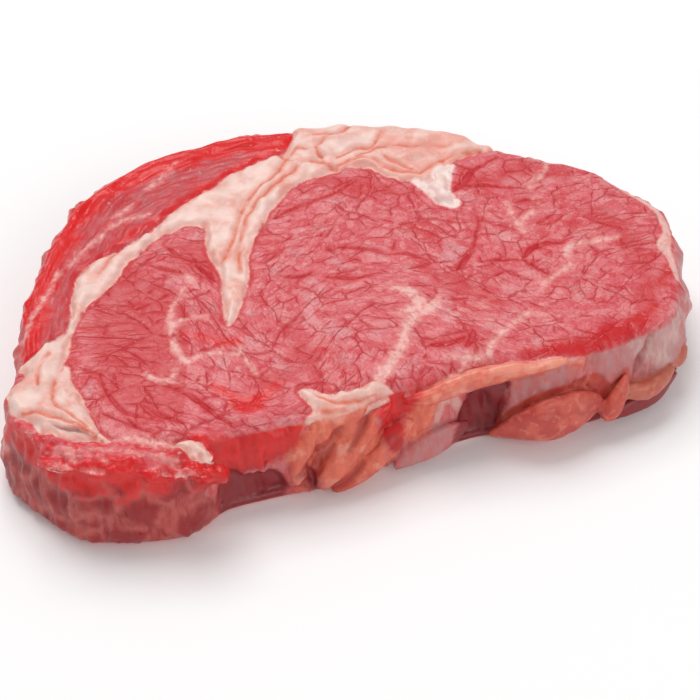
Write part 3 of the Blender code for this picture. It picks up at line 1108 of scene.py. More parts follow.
class Skin:
    """The coordinates and the unevenness that all the slice's colours read."""

    def __init__(self, graph: Graph) -> None:
        """Writes the shared nodes.

        Args:
            graph: The material's tree.
        """
        self.graph = graph
        self.here = graph.scaled(graph.add("ShaderNodeTexCoord", {}).outputs["Object"], 1 / MM)
        self.grain = self.attribute("grain", "Vector")
        self.strand = self.attribute("strand", "Vector")
        self.side = graph.step(self.attribute("wall", "Fac"), 0.3, 0.7)
        self.ragged = graph.maths("SUBTRACT", graph.noise(self.here, 1.6, 3.0, 0.6), 0.5)
        self.wavy = graph.maths("SUBTRACT", graph.noise(self.here, 5.0, 2.0), 0.5)
        self.patchy = graph.noise(self.here, 13.0, 2.0)
        upright = graph.vectors("MULTIPLY", self.here, (1.0, 1.0, 0.22))
        self.streak = graph.noise(graph.warp(upright, 6.0, 1.2), 1.9, 3.0, 0.6)

    def attribute(self, name: str, kind: str) -> Socket:
        """Reads a value that is stored on the mesh."""
        return self.graph.add("ShaderNodeAttribute", {}, attribute_name=name).outputs[kind]

    def within(
        self, tissue: Tissue, low: float, high: float, wavy: float = 0.0, ragged: float = 0.0
    ) -> Socket:
        """Masks a tissue.

        Args:
            tissue: The tissue.
            low: How deep in it the mask starts, in millimetres.
            high: How deep in it the mask is full.
            wavy: How far its edge wanders, in broad bends.
            ragged: How far its edge is torn, in small ones.

        Returns:
            The mask, from 0 to 1.
        """
        graph = self.graph
        depth = self.attribute(tissue.value, "Fac")
        for field, reach in ((self.wavy, wavy), (self.ragged, ragged)):
            if reach:
                depth = graph.plus(depth, field, 2 * reach)
        return graph.step(depth, low, high)


@dataclass(frozen=True)
class FleshFinish:
    """The finish of the slice: lean, fat, marbling, blood and the side wall's skins."""

    lean: LeanColours = LeanColours()
    fat: FatColours = FatColours()
    edge: EdgeColours = EdgeColours()
    fissures: Fissures = Fissures()
    scatter: float = 0.15
    scatter_depth: float = 2.0 * MM
    scatter_colour: tuple = (1.0, 0.35, 0.25)
    specular: float = 0.4
    roughness: tuple = (0.32, 0.56)
    wet_gloss: float = 0.12
    bump: float = 0.55
    bump_distance: float = 1.0 * MM
    blood_share: float = 0.9
    crack_share: float = 0.72
    gash_share: float = 0.85
    rich_share: float = 0.65
    fibre: float = 1.15

    def material(self) -> bpy.types.Material:
        """Builds the material.

        Returns:
            The slice's material; it reads the tissue attributes of the mesh.
        """
        material = bpy.data.materials.new("steak_flesh")
        material.use_nodes = True
        tree = material.node_tree
        tree.nodes.clear()
        graph = Graph(tree)
        skin = Skin(graph)
        fine, wide, halo = self.fissures.masks(graph, skin.grain)
        in_cap = skin.within(Tissue.CAP, -0.5, 0.6, wavy=1.0, ragged=0.4)
        in_tail = skin.within(Tissue.TAIL, -0.6, 0.6, wavy=0.6, ragged=0.5)
        whole = graph.maths("MAXIMUM", graph.maths("MAXIMUM", in_cap, in_tail), skin.side)
        cracks = graph.maths("MAXIMUM", fine, wide)
        cracks = graph.times(cracks, graph.maths("SUBTRACT", 1.0, graph.times(whole, 0.9)))
        fat = skin.within(Tissue.FAT, -0.4, 0.4, wavy=0.4, ragged=0.7)
        blood = skin.within(Tissue.BLOOD, -1.8, 1.6, wavy=1.7, ragged=1.0)

        colour = self.eye_colour(skin, halo, cracks)
        colour = graph.blend(in_cap, colour, self.cap_colour(skin))
        colour = graph.blend(in_tail, colour, self.tail_colour(skin))
        right = graph.step(graph.axis(skin.here, "X"), 0.0, 30.0)
        pool = graph.blend(right, self.lean.wet, self.lean.pool)
        colour = graph.tint(blood, self.blood_share, colour, pool)
        colour = self.marbled(skin, colour)
        colour = graph.blend(fat, colour, self.fat_colour(skin))
        colour = self.wall_colour(skin, colour, in_tail)
        colour = self.flap_colour(skin, colour)
        rough, height = self.relief(skin, cracks, fat, blood)
        relief = {"Height": height, "Distance": self.bump_distance, "Strength": self.bump}
        bump = graph.add("ShaderNodeBump", relief)
        shader = graph.add(
            "ShaderNodeBsdfPrincipled",
            {
                "Base Color": colour,
                "Roughness": rough,
                "Normal": bump.outputs[0],
                "Subsurface Weight": self.scatter,
                "Subsurface Scale": self.scatter_depth,
                "Subsurface Radius": self.scatter_colour,
                "Specular IOR Level": self.specular,
            },
        )
        graph.add("ShaderNodeOutputMaterial", {"Surface": shader.outputs[0]})
        return material

    def eye_colour(self, skin: Skin, halo: Socket, cracks: Socket) -> Socket:
        """Colours the large muscle: mottled pink bundles with redder cracks, patches of painted lilac
        sheen, and a painted shade line along the fat.

        Args:
            skin: The shared coordinates.
            halo: The redder meat beside the cracks.
            cracks: The cracks.

        Returns:
            The colour.
        """
        graph = skin.graph
        drawn = self.fissures.drawn(graph, skin.grain)
        tone = graph.cell_tone(drawn, self.fissures.small_bundle)
        fibres = graph.warp(drawn, 0.9, 0.25)
        seams = graph.step(graph.cell_edge(fibres, self.fibre), 0.17, 0.0)
        fibre_tone = graph.cell_tone(fibres, self.fibre)
        bundles = graph.noise(skin.grain, 2.4, 3.0, 0.6)
        speck = graph.noise(skin.grain, 0.7, 3.0, 0.75)
        # Painted sheen: broad patches of pale lilac where the wet lean catches the light.
        sheen_patches = graph.noise(skin.here, 7.0, 3.0)
        colour = graph.blend(graph.step(sheen_patches, 0.5, 0.68), self.lean.pink, self.lean.sheen_lilac)
        colour = graph.tint(graph.step(skin.patchy, 0.5, 0.32), 0.75, colour, self.lean.red)
        colour = graph.tint(graph.step(bundles, 0.5, 0.3), 0.6, colour, self.lean.red)
        colour = graph.tint(halo, 0.5, colour, self.lean.red)
        colour = graph.tint(graph.step(tone, 0.6, 0.9), 0.35, colour, self.lean.pale)
        colour = graph.tint(graph.step(tone, 0.35, 0.1), 0.35, colour, self.lean.red)
        colour = graph.tint(graph.step(fibre_tone, 0.55, 0.9), 0.35, colour, self.lean.pale)
        broken = graph.times(seams, graph.step(speck, 0.62, 0.4))
        colour = graph.tint(broken, 0.6, colour, self.lean.dusk)
        dots = graph.times(graph.step(speck, 0.52, 0.72), graph.step(bundles, 0.36, 0.6))
        colour = graph.tint(dots, 0.6, colour, self.lean.pale)
        rich = skin.within(Tissue.RICH, -3.0, 3.0, wavy=3.0, ragged=1.0)
        colour = graph.tint(rich, self.rich_share, colour, self.lean.rich)
        colour = graph.tint(cracks, self.crack_share, colour, self.lean.deep)
        near = skin.within(Tissue.GASH, -1.8, 0.2, ragged=0.6)
        colour = graph.tint(near, 0.6, colour, self.lean.red)
        split = skin.within(Tissue.GASH, -0.2, 0.2, ragged=0.4)
        colour = graph.tint(split, self.gash_share, colour, self.lean.deep)
        # Painted shade: a red line on the lean along its border with the fat.
        rim = skin.within(Tissue.FAT, -1.5, -0.3, ragged=0.5)
        return graph.tint(rim, 0.45, colour, self.lean.red)

    def cap_colour(self, skin: Skin) -> Socket:
        """Colours the cap: dusky strands along the rim, and a bright wet outer band.

        Args:
            skin: The shared coordinates.

        Returns:
            The colour.
        """
        graph = skin.graph
        strands = graph.noise(skin.strand, 0.9, 3.0, 0.65)
        colour = graph.blend(graph.step(strands, 0.34, 0.6), self.lean.red, self.lean.brown)
        colour = graph.tint(graph.step(strands, 0.56, 0.76), 0.75, colour, self.lean.pale)
        left = graph.step(graph.plus(graph.axis(skin.here, "X"), skin.wavy, 20.0), -48.0, -66.0)
        colour = graph.tint(left, 0.3, colour, self.lean.rich)
        inward = graph.plus(skin.attribute("inward", "Fac"), skin.wavy, 7.0)
        inward = graph.plus(inward, graph.maths("SUBTRACT", strands, 0.5), 5.0)
        inward = graph.plus(inward, left, 3.0)
        return graph.tint(graph.step(inward, 10.0, 6.0), 0.95, colour, self.lean.wet)

    def tail_colour(self, skin: Skin) -> Socket:
        """Colours the tail: short streaks of red, pink and pale tissue.

        Args:
            skin: The shared coordinates.

        Returns:
            The colour.
        """
        graph = skin.graph
        along = graph.vectors("MULTIPLY", skin.here, (0.32, 1.0, 1.0))
        streaks = graph.noise(graph.warp(along, 4.0, 1.2), 1.6, 3.0, 0.6)
        colour = graph.blend(graph.step(skin.patchy, 0.4, 0.6), self.lean.red, self.lean.pink)
        colour = graph.tint(graph.step(streaks, 0.5, 0.4), 0.8, colour, self.lean.wet)
        return graph.tint(graph.step(streaks, 0.54, 0.68), 0.8, colour, self.fat.blush)

    def marbled(self, skin: Skin, lean: Socket) -> Socket:
        """Lays the marbling's torn, pale veins and flecks over the lean.

        Args:
            skin: The shared coordinates.
            lean: The lean's colour.

        Returns:
            The colour.
        """
        graph = skin.graph
        soft = skin.within(Tissue.VEIN, -1.5, 0.5, wavy=1.0, ragged=1.6)
        core = skin.within(Tissue.VEIN, -0.4, 1.0, wavy=0.9, ragged=1.7)
        fade = graph.step(graph.noise(skin.here, 3.0, 2.0), 0.3, 0.5)
        grainy = graph.step(graph.noise(skin.here, 1.7, 3.0, 0.65), 0.3, 0.56)
        colour = graph.tint(soft, graph.times(fade, 0.85), lean, self.fat.vein)
        pearly = graph.times(core, graph.times(grainy, 0.8))
        colour = graph.blend(pearly, colour, self.fat.pearl)
        rim = skin.within(Tissue.RIM, -0.5, 0.5, wavy=0.5, ragged=0.5)
        colour = graph.tint(rim, 0.9, colour, graph.blend(fade, self.fat.blush, self.fat.pearl))
        fleck = graph.noise(skin.here, 2.0, 2.0, 0.6)
        fleck = graph.times(graph.step(fleck, 0.66, 0.76), graph.step(skin.patchy, 0.45, 0.6))
        return graph.tint(fleck, 0.6, colour, self.fat.blush)

    def fat_colour(self, skin: Skin) -> Socket:
        """Colours the fat: cream with a faint blush, and orange where it is creased, with a painted shade
        of blush beside the creases.

        Args:
            skin: The shared coordinates.

        Returns:
            The colour.
        """
        graph = skin.graph
        cloudy = graph.noise(skin.here, 7.0, 3.0, 0.55)
        grainy = graph.noise(skin.here, 1.3, 2.0)
        right = graph.step(graph.plus(graph.axis(skin.here, "X"), skin.wavy, 16.0), 0.0, 14.0)
        cloudy = graph.plus(cloudy, right, 0.16)
        colour = graph.blend(graph.step(cloudy, 0.42, 0.72), self.fat.cream, self.fat.blush)
        colour = graph.tint(graph.step(grainy, 0.55, 0.75), 0.4, colour, self.fat.white)
        edge = skin.within(Tissue.FAT, 1.4, 0.1, ragged=0.6)
        colour = graph.tint(edge, 0.5, colour, self.fat.blush)
        crease = graph.plus(skin.attribute("crease", "Fac"), skin.ragged, 0.7)
        crease = graph.plus(crease, skin.side, 3.0)
        heat = graph.step(graph.noise(skin.here, 6.0), 0.25, 0.5)
        # Painted shade: a soft blush beside each crease; the amber line in the crease is its own orange
        # colour.
        crease_shade = graph.times(graph.step(crease, 2.2, 0.3), 0.55)
        colour = graph.blend(crease_shade, colour, self.fat.blush)
        core = graph.times(graph.step(crease, 0.8, 0.0), graph.times(heat, 0.85))
        return graph.blend(core, colour, self.fat.amber)

    def wall_colour(self, skin: Skin, top: Socket, in_tail: Socket) -> Socket:
        """Colours the side wall: streaked membranes, warm folds, red patches and dark red hollows, with
        painted light toward the top and painted shade toward the floor, in the hollows and in the furrows.

        Args:
            skin: The shared coordinates.
            top: The colour of the tissue that runs down through the slice.
            in_tail: The tail's mask.

        Returns:
            The colour.
        """
        graph = skin.graph
        streaky = graph.step(skin.streak, 0.36, 0.64)
        rosy = graph.blend(streaky, self.edge.rose, self.edge.silver)
        colour = graph.tint(skin.side, 0.5, top, rosy)

        cells = graph.cell_edge(graph.warp(skin.here, 7.0, 3.5), 9.0, "3D")
        cells = graph.plus(cells, skin.ragged, 1.8)
        cells = graph.plus(cells, skin.wavy, 2.4)
        thread = graph.times(graph.step(cells, 2.2, -0.2), graph.step(skin.streak, 0.24, 0.54))
        redder = graph.times(graph.step(skin.patchy, 0.45, 0.7), 0.6)
        net = graph.blend(redder, self.edge.dark, self.edge.coral)
        net = graph.tint(thread, 0.54, net, self.edge.net)
        # The height on the wall stands for how much light falls there: below, the wall is painted lighter
        # toward the top and darker toward the floor. The tail's wall turns bright red toward its top,
        # partly the wet red of its edge and partly painted light.
        painted_light_height = graph.axis(skin.here, "Z")
        painted_light_height = graph.plus(painted_light_height, skin.wavy, 16.0)
        net = graph.tint(graph.step(painted_light_height, 16.0, 21.5), 0.85, net, self.edge.red)
        colour = graph.tint(in_tail, skin.side, colour, net)

        layers = (
            (Tissue.MEMBRANE, self.edge.silver, self.edge.rose, 0.6),
            (Tissue.SILVER, self.edge.grey, self.edge.silver, 0.6),
            (Tissue.WARM_FAT, self.edge.orange, self.edge.coral, 0.4),
            (Tissue.RED, self.edge.red, self.edge.dark, 0.3),
            # Maroon: dark red muscle, and painted shade in the hollows and under the flaps.
            (Tissue.MAROON, self.edge.maroon, self.edge.dark, 0.6),
        )
        pale = graph.step(graph.noise(skin.here, 4.2, 3.0), 0.52, 0.7)
        for tissue, main, streaks, share in layers:
            over = graph.tint(streaky, share, main, streaks)
            if tissue is Tissue.WARM_FAT:
                # Painted light and shade on the warm folds: peach highlights in pale patches and toward the
                # top, and coral toward the floor.
                over = graph.tint(pale, 0.8, over, self.edge.peach_highlight)
                over = graph.tint(graph.step(painted_light_height, 12.0, 3.0), 0.5, over, self.edge.coral)
                over = graph.tint(graph.step(painted_light_height, 22.0, 26.0), 0.7, over, self.edge.peach_highlight)
            if tissue is Tissue.RED:
                # Painted shade: the red patches darken toward the floor.
                over = graph.tint(graph.step(painted_light_height, 19.0, 10.0), 0.7, over, self.edge.dark)
            mask = skin.within(tissue, -1.3, 1.3, wavy=2.6, ragged=1.4)
            colour = graph.tint(mask, skin.side, colour, over)
        # Painted shade: the furrows are painted dark red as well as sunk.
        furrow = graph.times(skin.within(Tissue.FURROW, -1.4, 0.4, ragged=0.5), skin.side)
        return graph.tint(furrow, 0.6, colour, self.edge.dark)

    def flap_colour(self, skin: Skin, under: Socket) -> Socket:
        """Colours the loose flaps and the white folds on the cut face, with a painted highlight in pale
        patches.

        Args:
            skin: The shared coordinates.
            under: The colour beneath them.

        Returns:
            The colour.
        """
        graph = skin.graph
        colour = under
        soft = graph.step(graph.noise(skin.here, 5.0, 3.0), 0.42, 0.62)
        # Pale patches where each flap's third colour is laid on as a painted highlight.
        pale = graph.step(graph.noise(graph.warp(skin.here, 6.0, 3.0), 2.6, 2.0), 0.53, 0.7)
        flaps = (
            (Tissue.CORAL, self.edge.coral, self.edge.orange, self.edge.peach_highlight),
            (Tissue.TAN, self.edge.tan, self.edge.coral, self.edge.peach_highlight),
            (Tissue.WHITE, self.fat.white, self.fat.cream, self.fat.white),
        )
        for tissue, main, other, light in flaps:
            over = graph.tint(soft, 0.42, main, other)
            over = graph.tint(pale, 0.26, over, light)
            colour = graph.blend(skin.within(tissue, -1.3, -0.2, ragged=0.4), colour, over)
        return colour

    def relief(self, skin: Skin, cracks: Socket, fat: Socket, blood: Socket) -> tuple[Socket, Socket]:
        """Writes the wet, uneven gloss and the fine bump.

        Args:
            skin: The shared coordinates.
            cracks: The cracks in the lean.
            fat: The fat's mask.
            blood: The blood's mask.

        Returns:
            The roughness and the bump's height.
        """
        graph = skin.graph
        rough = graph.between(graph.noise(skin.here, 3.2, 2.0), *self.roughness)
        wet = graph.maths("MAXIMUM", blood, graph.times(skin.side, 0.8))
        rough = graph.maths("SUBTRACT", rough, graph.times(wet, self.wet_gloss))
        lean = graph.maths("SUBTRACT", 1.0, graph.maths("MAXIMUM", fat, skin.side))
        fibres = graph.times(graph.noise(skin.grain, 0.9, 2.0), 0.3)
        fibres = graph.maths("SUBTRACT", fibres, graph.times(cracks, 0.3))
        height = graph.times(fibres, lean)
        return rough, graph.plus(height, graph.noise(skin.here, 1.8, 2.0), 0.2)


# ---------------------------------------------------------------- the slice


@dataclass
class Slice:
    """The whole slice: one body of muscle, fat and marbling."""

    tissues: TissueMap = TissueMap()
    folds: Folds = Folds()
    fissures: Fissures = Fissures()
    shoulder: float = 21.5
    grid: float = 0.5 * MM
    kept_share: float = 0.44
    soften_share: float = 0.5
    soften_rounds: int = 9
    top_tilt: tuple = (0.35, 0.85)
    bottom_tilt: tuple = (0.6, 0.95)
    steep_tilt: tuple = (0.25, 0.75)
    fat_rise: float = 0.75
    fat_shoulder: float = 2.2
    fat_edge: Ripple = Ripple(3, 4.5, 0.5)
    fat_swell: Ripple = Ripple(5, 9, 0.5)
    seam_depth: float = 0.8
    seam_width: float = 0.75
    crease_depth: float = 0.75
    crease_width: float = 0.7
    crease_edge: Ripple = Ripple(4, 5, 0.25)
    gash_depth: float = 0.42
    broad_swell: Ripple = Ripple(6, 16, 0.22)
    small_swell: Ripple = Ripple(7, 5, 0.12)
    cap_grooves: Ripple = Ripple(8, 2.6, 0.3)
    tail_bumps: Ripple = Ripple(9, 3.2, 0.45)
    wall_swell: Ripple = Ripple(10, 11, 0.45)
    wall_ribs: Ripple = Ripple(11, 4, 0.18, (1, 1, 0.5))
    wall_grooves: Ripple = Ripple(12, 3.4, 0.35, (1, 1, 0.3))
    fold_calm: float = 0.85
    fold_rise: float = 0.7
    fine_depth: float = 0.07 * MM
    wide_depth: float = 0.3 * MM
    halo_depth: float = 0.16 * MM
    hollow_depth: float = 2.2
    furrow_depth: float = 1.1
    lean_edges: tuple = ((Tissue.FAT, 0.4), (Tissue.CAP, 0.8), (Tissue.TAIL, 0.8))
    flat_part: tuple = (0.6, 0.2)
    strands_across: float = 7.0
    strand_slope: float = 0.35

    def build(self) -> bpy.types.Object:
        """Builds, sculpts and dresses the slice.

        Returns:
            The finished piece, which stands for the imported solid.
        """
        piece = self.fine_copy()
        self.mark_wall(piece.data)
        self.measure(piece.data)
        self.sculpt(piece.data)
        self.crack(piece)
        self.thin_out(piece)
        self.measure(piece.data)
        piece.data.materials.clear()
        piece.data.materials.append(FleshFinish(fissures=self.fissures).material())
        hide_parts(NODE)
        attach(piece, BODY)
        return piece

    def fine_copy(self) -> bpy.types.Object:
        """Makes a fine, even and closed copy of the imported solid, with its folds and shreds.

        Returns:
            The piece, not yet sculpted.
        """
        rough = merged_solid()
        for lobe in self.folds.all():
            lobe.add_to(rough)
        bmesh.ops.recalc_face_normals(rough, faces=rough.faces)
        mesh = bpy.data.meshes.new("slice")
        rough.to_mesh(mesh)
        rough.free()
        piece = new_piece("slice", mesh)
        remesh = piece.modifiers.new("even", "REMESH")
        remesh.mode = "VOXEL"
        remesh.voxel_size = self.grid
        remesh.use_smooth_shade = True
        soften = piece.modifiers.new("soften", "SMOOTH")
        soften.factor = self.soften_share
        soften.iterations = self.soften_rounds
        applied(piece)
        return piece

    def rim(self) -> np.ndarray:
        """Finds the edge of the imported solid's flat underside.

        Returns:
            The edge's points in order, in millimetres, ending where they start.
        """
        rough = merged_solid()
        flat = {face for face in rough.faces if all(vert.co.z < 0.01 * MM for vert in face.verts)}
        edges = {edge for face in flat for edge in face.edges if not flat.issuperset(edge.link_faces)}
        start = min(edges, key=lambda edge: edge.index)
        line, vert, edge = [start.verts[0]], start.verts[1], start
        while vert is not line[0]:
            line.append(vert)
            edge = next(e for e in vert.link_edges if e in edges and e is not edge)
            vert = edge.other_vert(vert)
        places = np.array([tuple(v.co) for v in line + line[:1]])
        rough.free()
        return LANDMARK.millimetres(places)[:, :2]

    def measure(self, mesh: bpy.types.Mesh) -> None:
        """Stores what every spot is made of, and how its grain runs.

        Args:
            mesh: The slice's mesh, which gets the attributes.
        """
        places = LANDMARK.millimetres(positions(mesh))
        flat = places[:, :2]
        depths = self.tissues.measure(places)
        for lobe in self.folds.all():
            depths[lobe.tissue] = np.maximum(depths[lobe.tissue], lobe.depth(places))
        for tissue, depth in depths.items():
            write(mesh, tissue.value, depth)
        write(mesh, "crease", self.tissues.creased(flat))
        grain = self.tissues.grain(flat)
        write(mesh, "grain", np.column_stack([grain, places[:, 2] * self.tissues.depth_of_grain]))
        # Strands run round the rim, so their coordinates go round a circle and then inward.
        rim = self.rim()
        lengths = np.concatenate([[0], np.cumsum(np.hypot(*np.diff(rim, axis=0).T))])
        turns = lengths / lengths[-1] * 2 * math.pi
        distance, around = nearest(flat, np.column_stack([rim, np.cos(turns), np.sin(turns)]))
        stretched = lengths[-1] / (2 * math.pi) / self.strands_across
        inward = distance + self.strand_slope * places[:, 2]
        write(mesh, "strand", np.column_stack([around * stretched, inward]))
        write(mesh, "inward", distance)

    def mark_wall(self, mesh: bpy.types.Mesh) -> None:
        """Stores how much each spot belongs to the side wall, while the mesh is still smooth.

        Args:
            mesh: The slice's mesh, which gets the attribute.
        """
        up = normals(mesh)[:, 2]
        places = LANDMARK.millimetres(positions(mesh))
        height = places[:, 2]
        steep = 1 - smooth_step(np.abs(up), *self.steep_tilt)
        below = np.maximum(smooth_step(up, -0.9, -0.5), smooth_step(height, 0.6, 1.6))
        steep = np.maximum(steep, smooth_step(self.shoulder - height, 0, 2) * below)
        for fold in self.folds.folds:
            steep = np.maximum(steep, smooth_step(fold.depth(places), -0.5, 0.4))
        write(mesh, "wall", steep)

    def read(self, mesh: bpy.types.Mesh, name: str) -> np.ndarray:
        """Reads an attribute.

        Args:
            mesh: The slice's mesh.
            name: The attribute's name.

        Returns:
            One number for each vertex.
        """
        values = np.empty(len(mesh.vertices), np.float32)
        mesh.attributes[name].data.foreach_get("value", values)
        return values.astype(float)

    def sculpt(self, mesh: bpy.types.Mesh) -> None:
        """Raises the fat, sinks its seams and creases, opens the gashes and shapes the wall.

        Args:
            mesh: The slice's mesh, whose attributes are written.
        """
        co = positions(mesh)
        places = LANDMARK.millimetres(co)
        outward = normals(mesh)
        top = smooth_step(outward[:, 2], *self.top_tilt)
        bottom = smooth_step(-outward[:, 2], *self.bottom_tilt)
        lift = outward * self.wall_height(mesh, places, top, bottom)[:, None] * MM
        lift[:, 2] += self.top_height(mesh, places) * top * MM
        place(mesh, co + lift)

    def top_height(self, mesh: bpy.types.Mesh, places: np.ndarray) -> np.ndarray:
        """Works out how far the cut face rises or sinks.

        Args:
            mesh: The slice's mesh.
            places: Its vertices, in millimetres from the landmark.

        Returns:
            The rise at each vertex, in millimetres.
        """
        fat = self.read(mesh, "fat") + self.fat_edge.at(places)
        crease = self.read(mesh, "crease") + self.crease_edge.at(places)
        gash = self.read(mesh, "gash")
        height = self.fat_rise * smooth_step(fat, 0, self.fat_shoulder)
        height -= self.seam_depth * bell(fat, self.seam_width)
        height -= self.crease_depth * bell(crease, self.crease_width) * smooth_step(fat, -0.5, 0.6)
        height += self.fat_swell.at(places) * smooth_step(fat, 0, 3)
        height -= self.gash_depth * smooth_step(gash, -0.3, 0.35)
        height += self.broad_swell.at(places) + self.small_swell.at(places)
        strands = triples(mesh.attributes["strand"].data, "vector")
        height += self.cap_grooves.at(strands) * smooth_step(self.read(mesh, "cap"), 0, 1.5)
        height += self.tail_bumps.at(places) * smooth_step(self.read(mesh, "tail"), 0, 1.5)
        return height

    def wall_height(
        self, mesh: bpy.types.Mesh, places: np.ndarray, top: np.ndarray, bottom: np.ndarray
    ) -> np.ndarray:
        """Works out how far the side wall swells or sinks; the loose folds stay calm.

        Args:
            mesh: The slice's mesh.
            places: Its vertices, in millimetres from the landmark.
            top: How much each vertex belongs to the cut face.
            bottom: How much each vertex belongs to the underside.

        Returns:
            The rise at each vertex, in millimetres.
        """
        hanging = [*self.folds.flaps, *(fold for fold in self.folds.folds if fold.tissue is not Tissue.RED)]
        loose = smooth_step(np.max([lobe.depth(places) for lobe in hanging], axis=0), -1, 0)
        fine = self.wall_ribs.at(places) + self.wall_grooves.at(places)
        side = (self.wall_swell.at(places) + fine) * (1 - self.fold_calm * loose)
        side -= self.hollow_depth * smooth_step(self.read(mesh, "maroon"), -1, 2.5) * (1 - loose)
        side += self.fold_rise * smooth_step(self.read(mesh, "warm_fat"), -1, 2)
        side -= self.furrow_depth * smooth_step(self.read(mesh, "furrow"), -1.2, 0.6)
        return side * ((1 - top) * (1 - bottom) * smooth_step(places[:, 2], 0.2, 4))

    def crack(self, piece: bpy.types.Object) -> None:
        """Sinks the cracks between the fibre bundles into the lean of the cut face.

        Args:
            piece: The slice, whose attributes are written.
        """
        tree = bpy.data.node_groups.new("fissures", "GeometryNodeTree")
        tree.interface.new_socket("Geometry", in_out="INPUT", socket_type="NodeSocketGeometry")
        tree.interface.new_socket("Geometry", in_out="OUTPUT", socket_type="NodeSocketGeometry")
        graph = Graph(tree)
        source = graph.add("NodeGroupInput", {})
        grain = self.named(graph, "grain", "FLOAT_VECTOR")
        masks = self.fissures.masks(graph, grain)
        parts = [
            graph.times(mask, depth)
            for mask, depth in zip(masks, (self.fine_depth, self.wide_depth, self.halo_depth))
        ]
        depth = graph.maths("ADD", graph.maths("ADD", parts[0], parts[1]), parts[2])
        for tissue, edge in self.lean_edges:
            outside = graph.step(self.named(graph, tissue.value, "FLOAT"), edge, -edge)
            depth = graph.times(depth, outside)
        flat = graph.step(self.named(graph, "wall", "FLOAT"), *self.flat_part)
        up = graph.axis(graph.add("GeometryNodeInputNormal", {}).outputs[0], "Z")
        depth = graph.times(depth, graph.times(flat, graph.maths("MAXIMUM", up, 0.0)))
        offset = graph.add("ShaderNodeCombineXYZ", {"Z": graph.times(depth, -1.0)}).outputs[0]
        moved = graph.add("GeometryNodeSetPosition", {"Geometry": source.outputs[0], "Offset": offset})
        graph.add("NodeGroupOutput", {0: moved.outputs[0]})
        modifier = piece.modifiers.new("fissures", "NODES")
        modifier.node_group = tree
        applied(piece)

    def named(self, graph: Graph, name: str, kind: str) -> Socket:
        """Reads a stored attribute in geometry nodes."""
        node = graph.add("GeometryNodeInputNamedAttribute", {"Name": name}, data_type=kind)
        return node.outputs["Attribute"]

    def thin_out(self, piece: bpy.types.Object) -> None:
        """Leaves fewer faces on the wall, and fewest on the flat underside.

        Args:
            piece: The slice.
        """
        up = normals(piece.data)[:, 2]
        under = (up < -0.6) & (LANDMARK.millimetres(positions(piece.data))[:, 2] < 1)
        wall = ~under & (up < 0.45)
        group = piece.vertex_groups.new(name="broad")
        for chosen, weight in ((under, 1.0), (wall, 0.25)):
            group.add(np.nonzero(chosen)[0].tolist(), weight, "REPLACE")
        thin = piece.modifiers.new("thin", "DECIMATE")
        thin.ratio = self.kept_share
        thin.vertex_group = group.name
        thin.vertex_group_factor = 6.0
        applied(piece)
        piece.vertex_groups.clear()
        piece.data.shade_smooth()


# ---------------------------------------------------------------- floor, light and camera


@dataclass(frozen=True)
class Lamp:
    """A white square lamp that faces the steak: its place and side in metres, its power in watts."""

    name: str
    spot: tuple[float, ...]
    size: float
    power: float

    def hang(self) -> None:
        """Adds the lamp to the scene."""
        light = bpy.data.lights.new(self.name, "AREA")
        light.size = self.size
        light.energy = self.power
        lamp = bpy.data.objects.new(self.name, light)
        lamp.location = self.spot
        lamp.rotation_euler = (-Vector(self.spot)).to_track_quat("-Z", "Y").to_euler()
        bpy.context.scene.collection.objects.link(lamp)


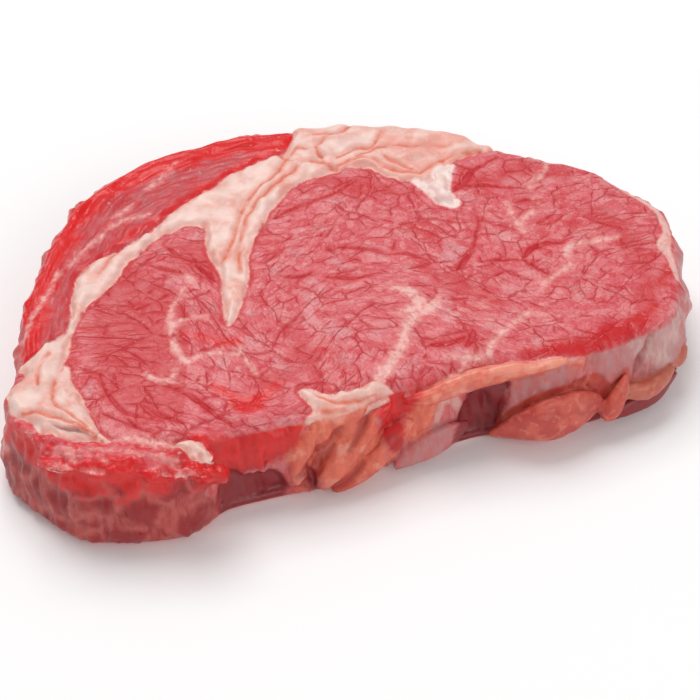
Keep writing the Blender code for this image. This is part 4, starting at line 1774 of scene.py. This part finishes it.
@dataclass(frozen=True)
class Studio:
    """A white table under two soft lamps, one large above and behind and one weak in front."""

    distance: float = 0.56
    tilt: float = 45.0
    field_of_view: float = 18.9
    floor_size: float = 4.0
    floor_colour: Colour = (0.97, 0.97, 0.97, 1)
    floor_roughness: float = 0.9
    daylight: float = 0.44
    lamps: tuple[Lamp, ...] = (
        Lamp("key", (-0.25, 0.55, 1.3), 0.9, 12.2),
        Lamp("fill", (0.6, -0.95, 0.75), 0.9, 4.8),
    )

    def build(self) -> None:
        """Builds the floor, the lamps, the surroundings and the camera."""
        self.floor()
        for lamp in self.lamps:
            lamp.hang()
        self.surroundings()
        self.camera()

    def floor(self) -> None:
        """Lays the white table under the steak."""
        mesh = bmesh.new()
        bmesh.ops.create_grid(mesh, x_segments=1, y_segments=1, size=self.floor_size / 2)
        data = bpy.data.meshes.new("floor")
        mesh.to_mesh(data)
        mesh.free()
        floor = new_piece("floor", data)
        material = bpy.data.materials.new("white_table")
        material.use_nodes = True
        shader = material.node_tree.nodes["Principled BSDF"]
        shader.inputs["Base Color"].default_value = self.floor_colour
        shader.inputs["Roughness"].default_value = self.floor_roughness
        shader.inputs["Specular IOR Level"].default_value = 0.0
        data.materials.append(material)

    def surroundings(self) -> None:
        """Makes the surroundings white to the eye and dimmer as a light."""
        world = bpy.data.worlds.new("white")
        bpy.context.scene.world = world
        world.use_nodes = True
        graph = Graph(world.node_tree)
        world.node_tree.nodes.clear()
        path = graph.add("ShaderNodeLightPath", {})
        strength = graph.between(path.outputs["Is Camera Ray"], self.daylight, 1.0)
        back = graph.add("ShaderNodeBackground", {"Color": (1, 1, 1, 1), "Strength": strength})
        graph.add("ShaderNodeOutputWorld", {"Surface": back.outputs[0]})
        bpy.context.scene.view_settings.view_transform = "Standard"

    def camera(self) -> None:
        """Sets the camera above and in front of the steak."""
        data = bpy.data.cameras.new("camera")
        data.angle = math.radians(self.field_of_view)
        camera = bpy.data.objects.new("camera", data)
        tilt = math.radians(self.tilt)
        target = Vector(LANDMARK.spot)
        camera.location = target + self.distance * Vector((0, -math.cos(tilt), math.sin(tilt)))
        camera.rotation_euler = (math.pi / 2 - tilt, 0, 0)
        bpy.context.scene.collection.objects.link(camera)
        bpy.context.scene.camera = camera


def main() -> None:
    """Builds the steak and the studio."""
    logging.basicConfig(level=logging.INFO, format="%(message)s")
    Studio().build()
    steak = Slice().build()
    steak.data.calc_loop_triangles()
    LOG.info("%s: %d triangles", steak.name, len(steak.data.loop_triangles))
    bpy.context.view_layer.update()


if __name__ == "__main__":
    main()
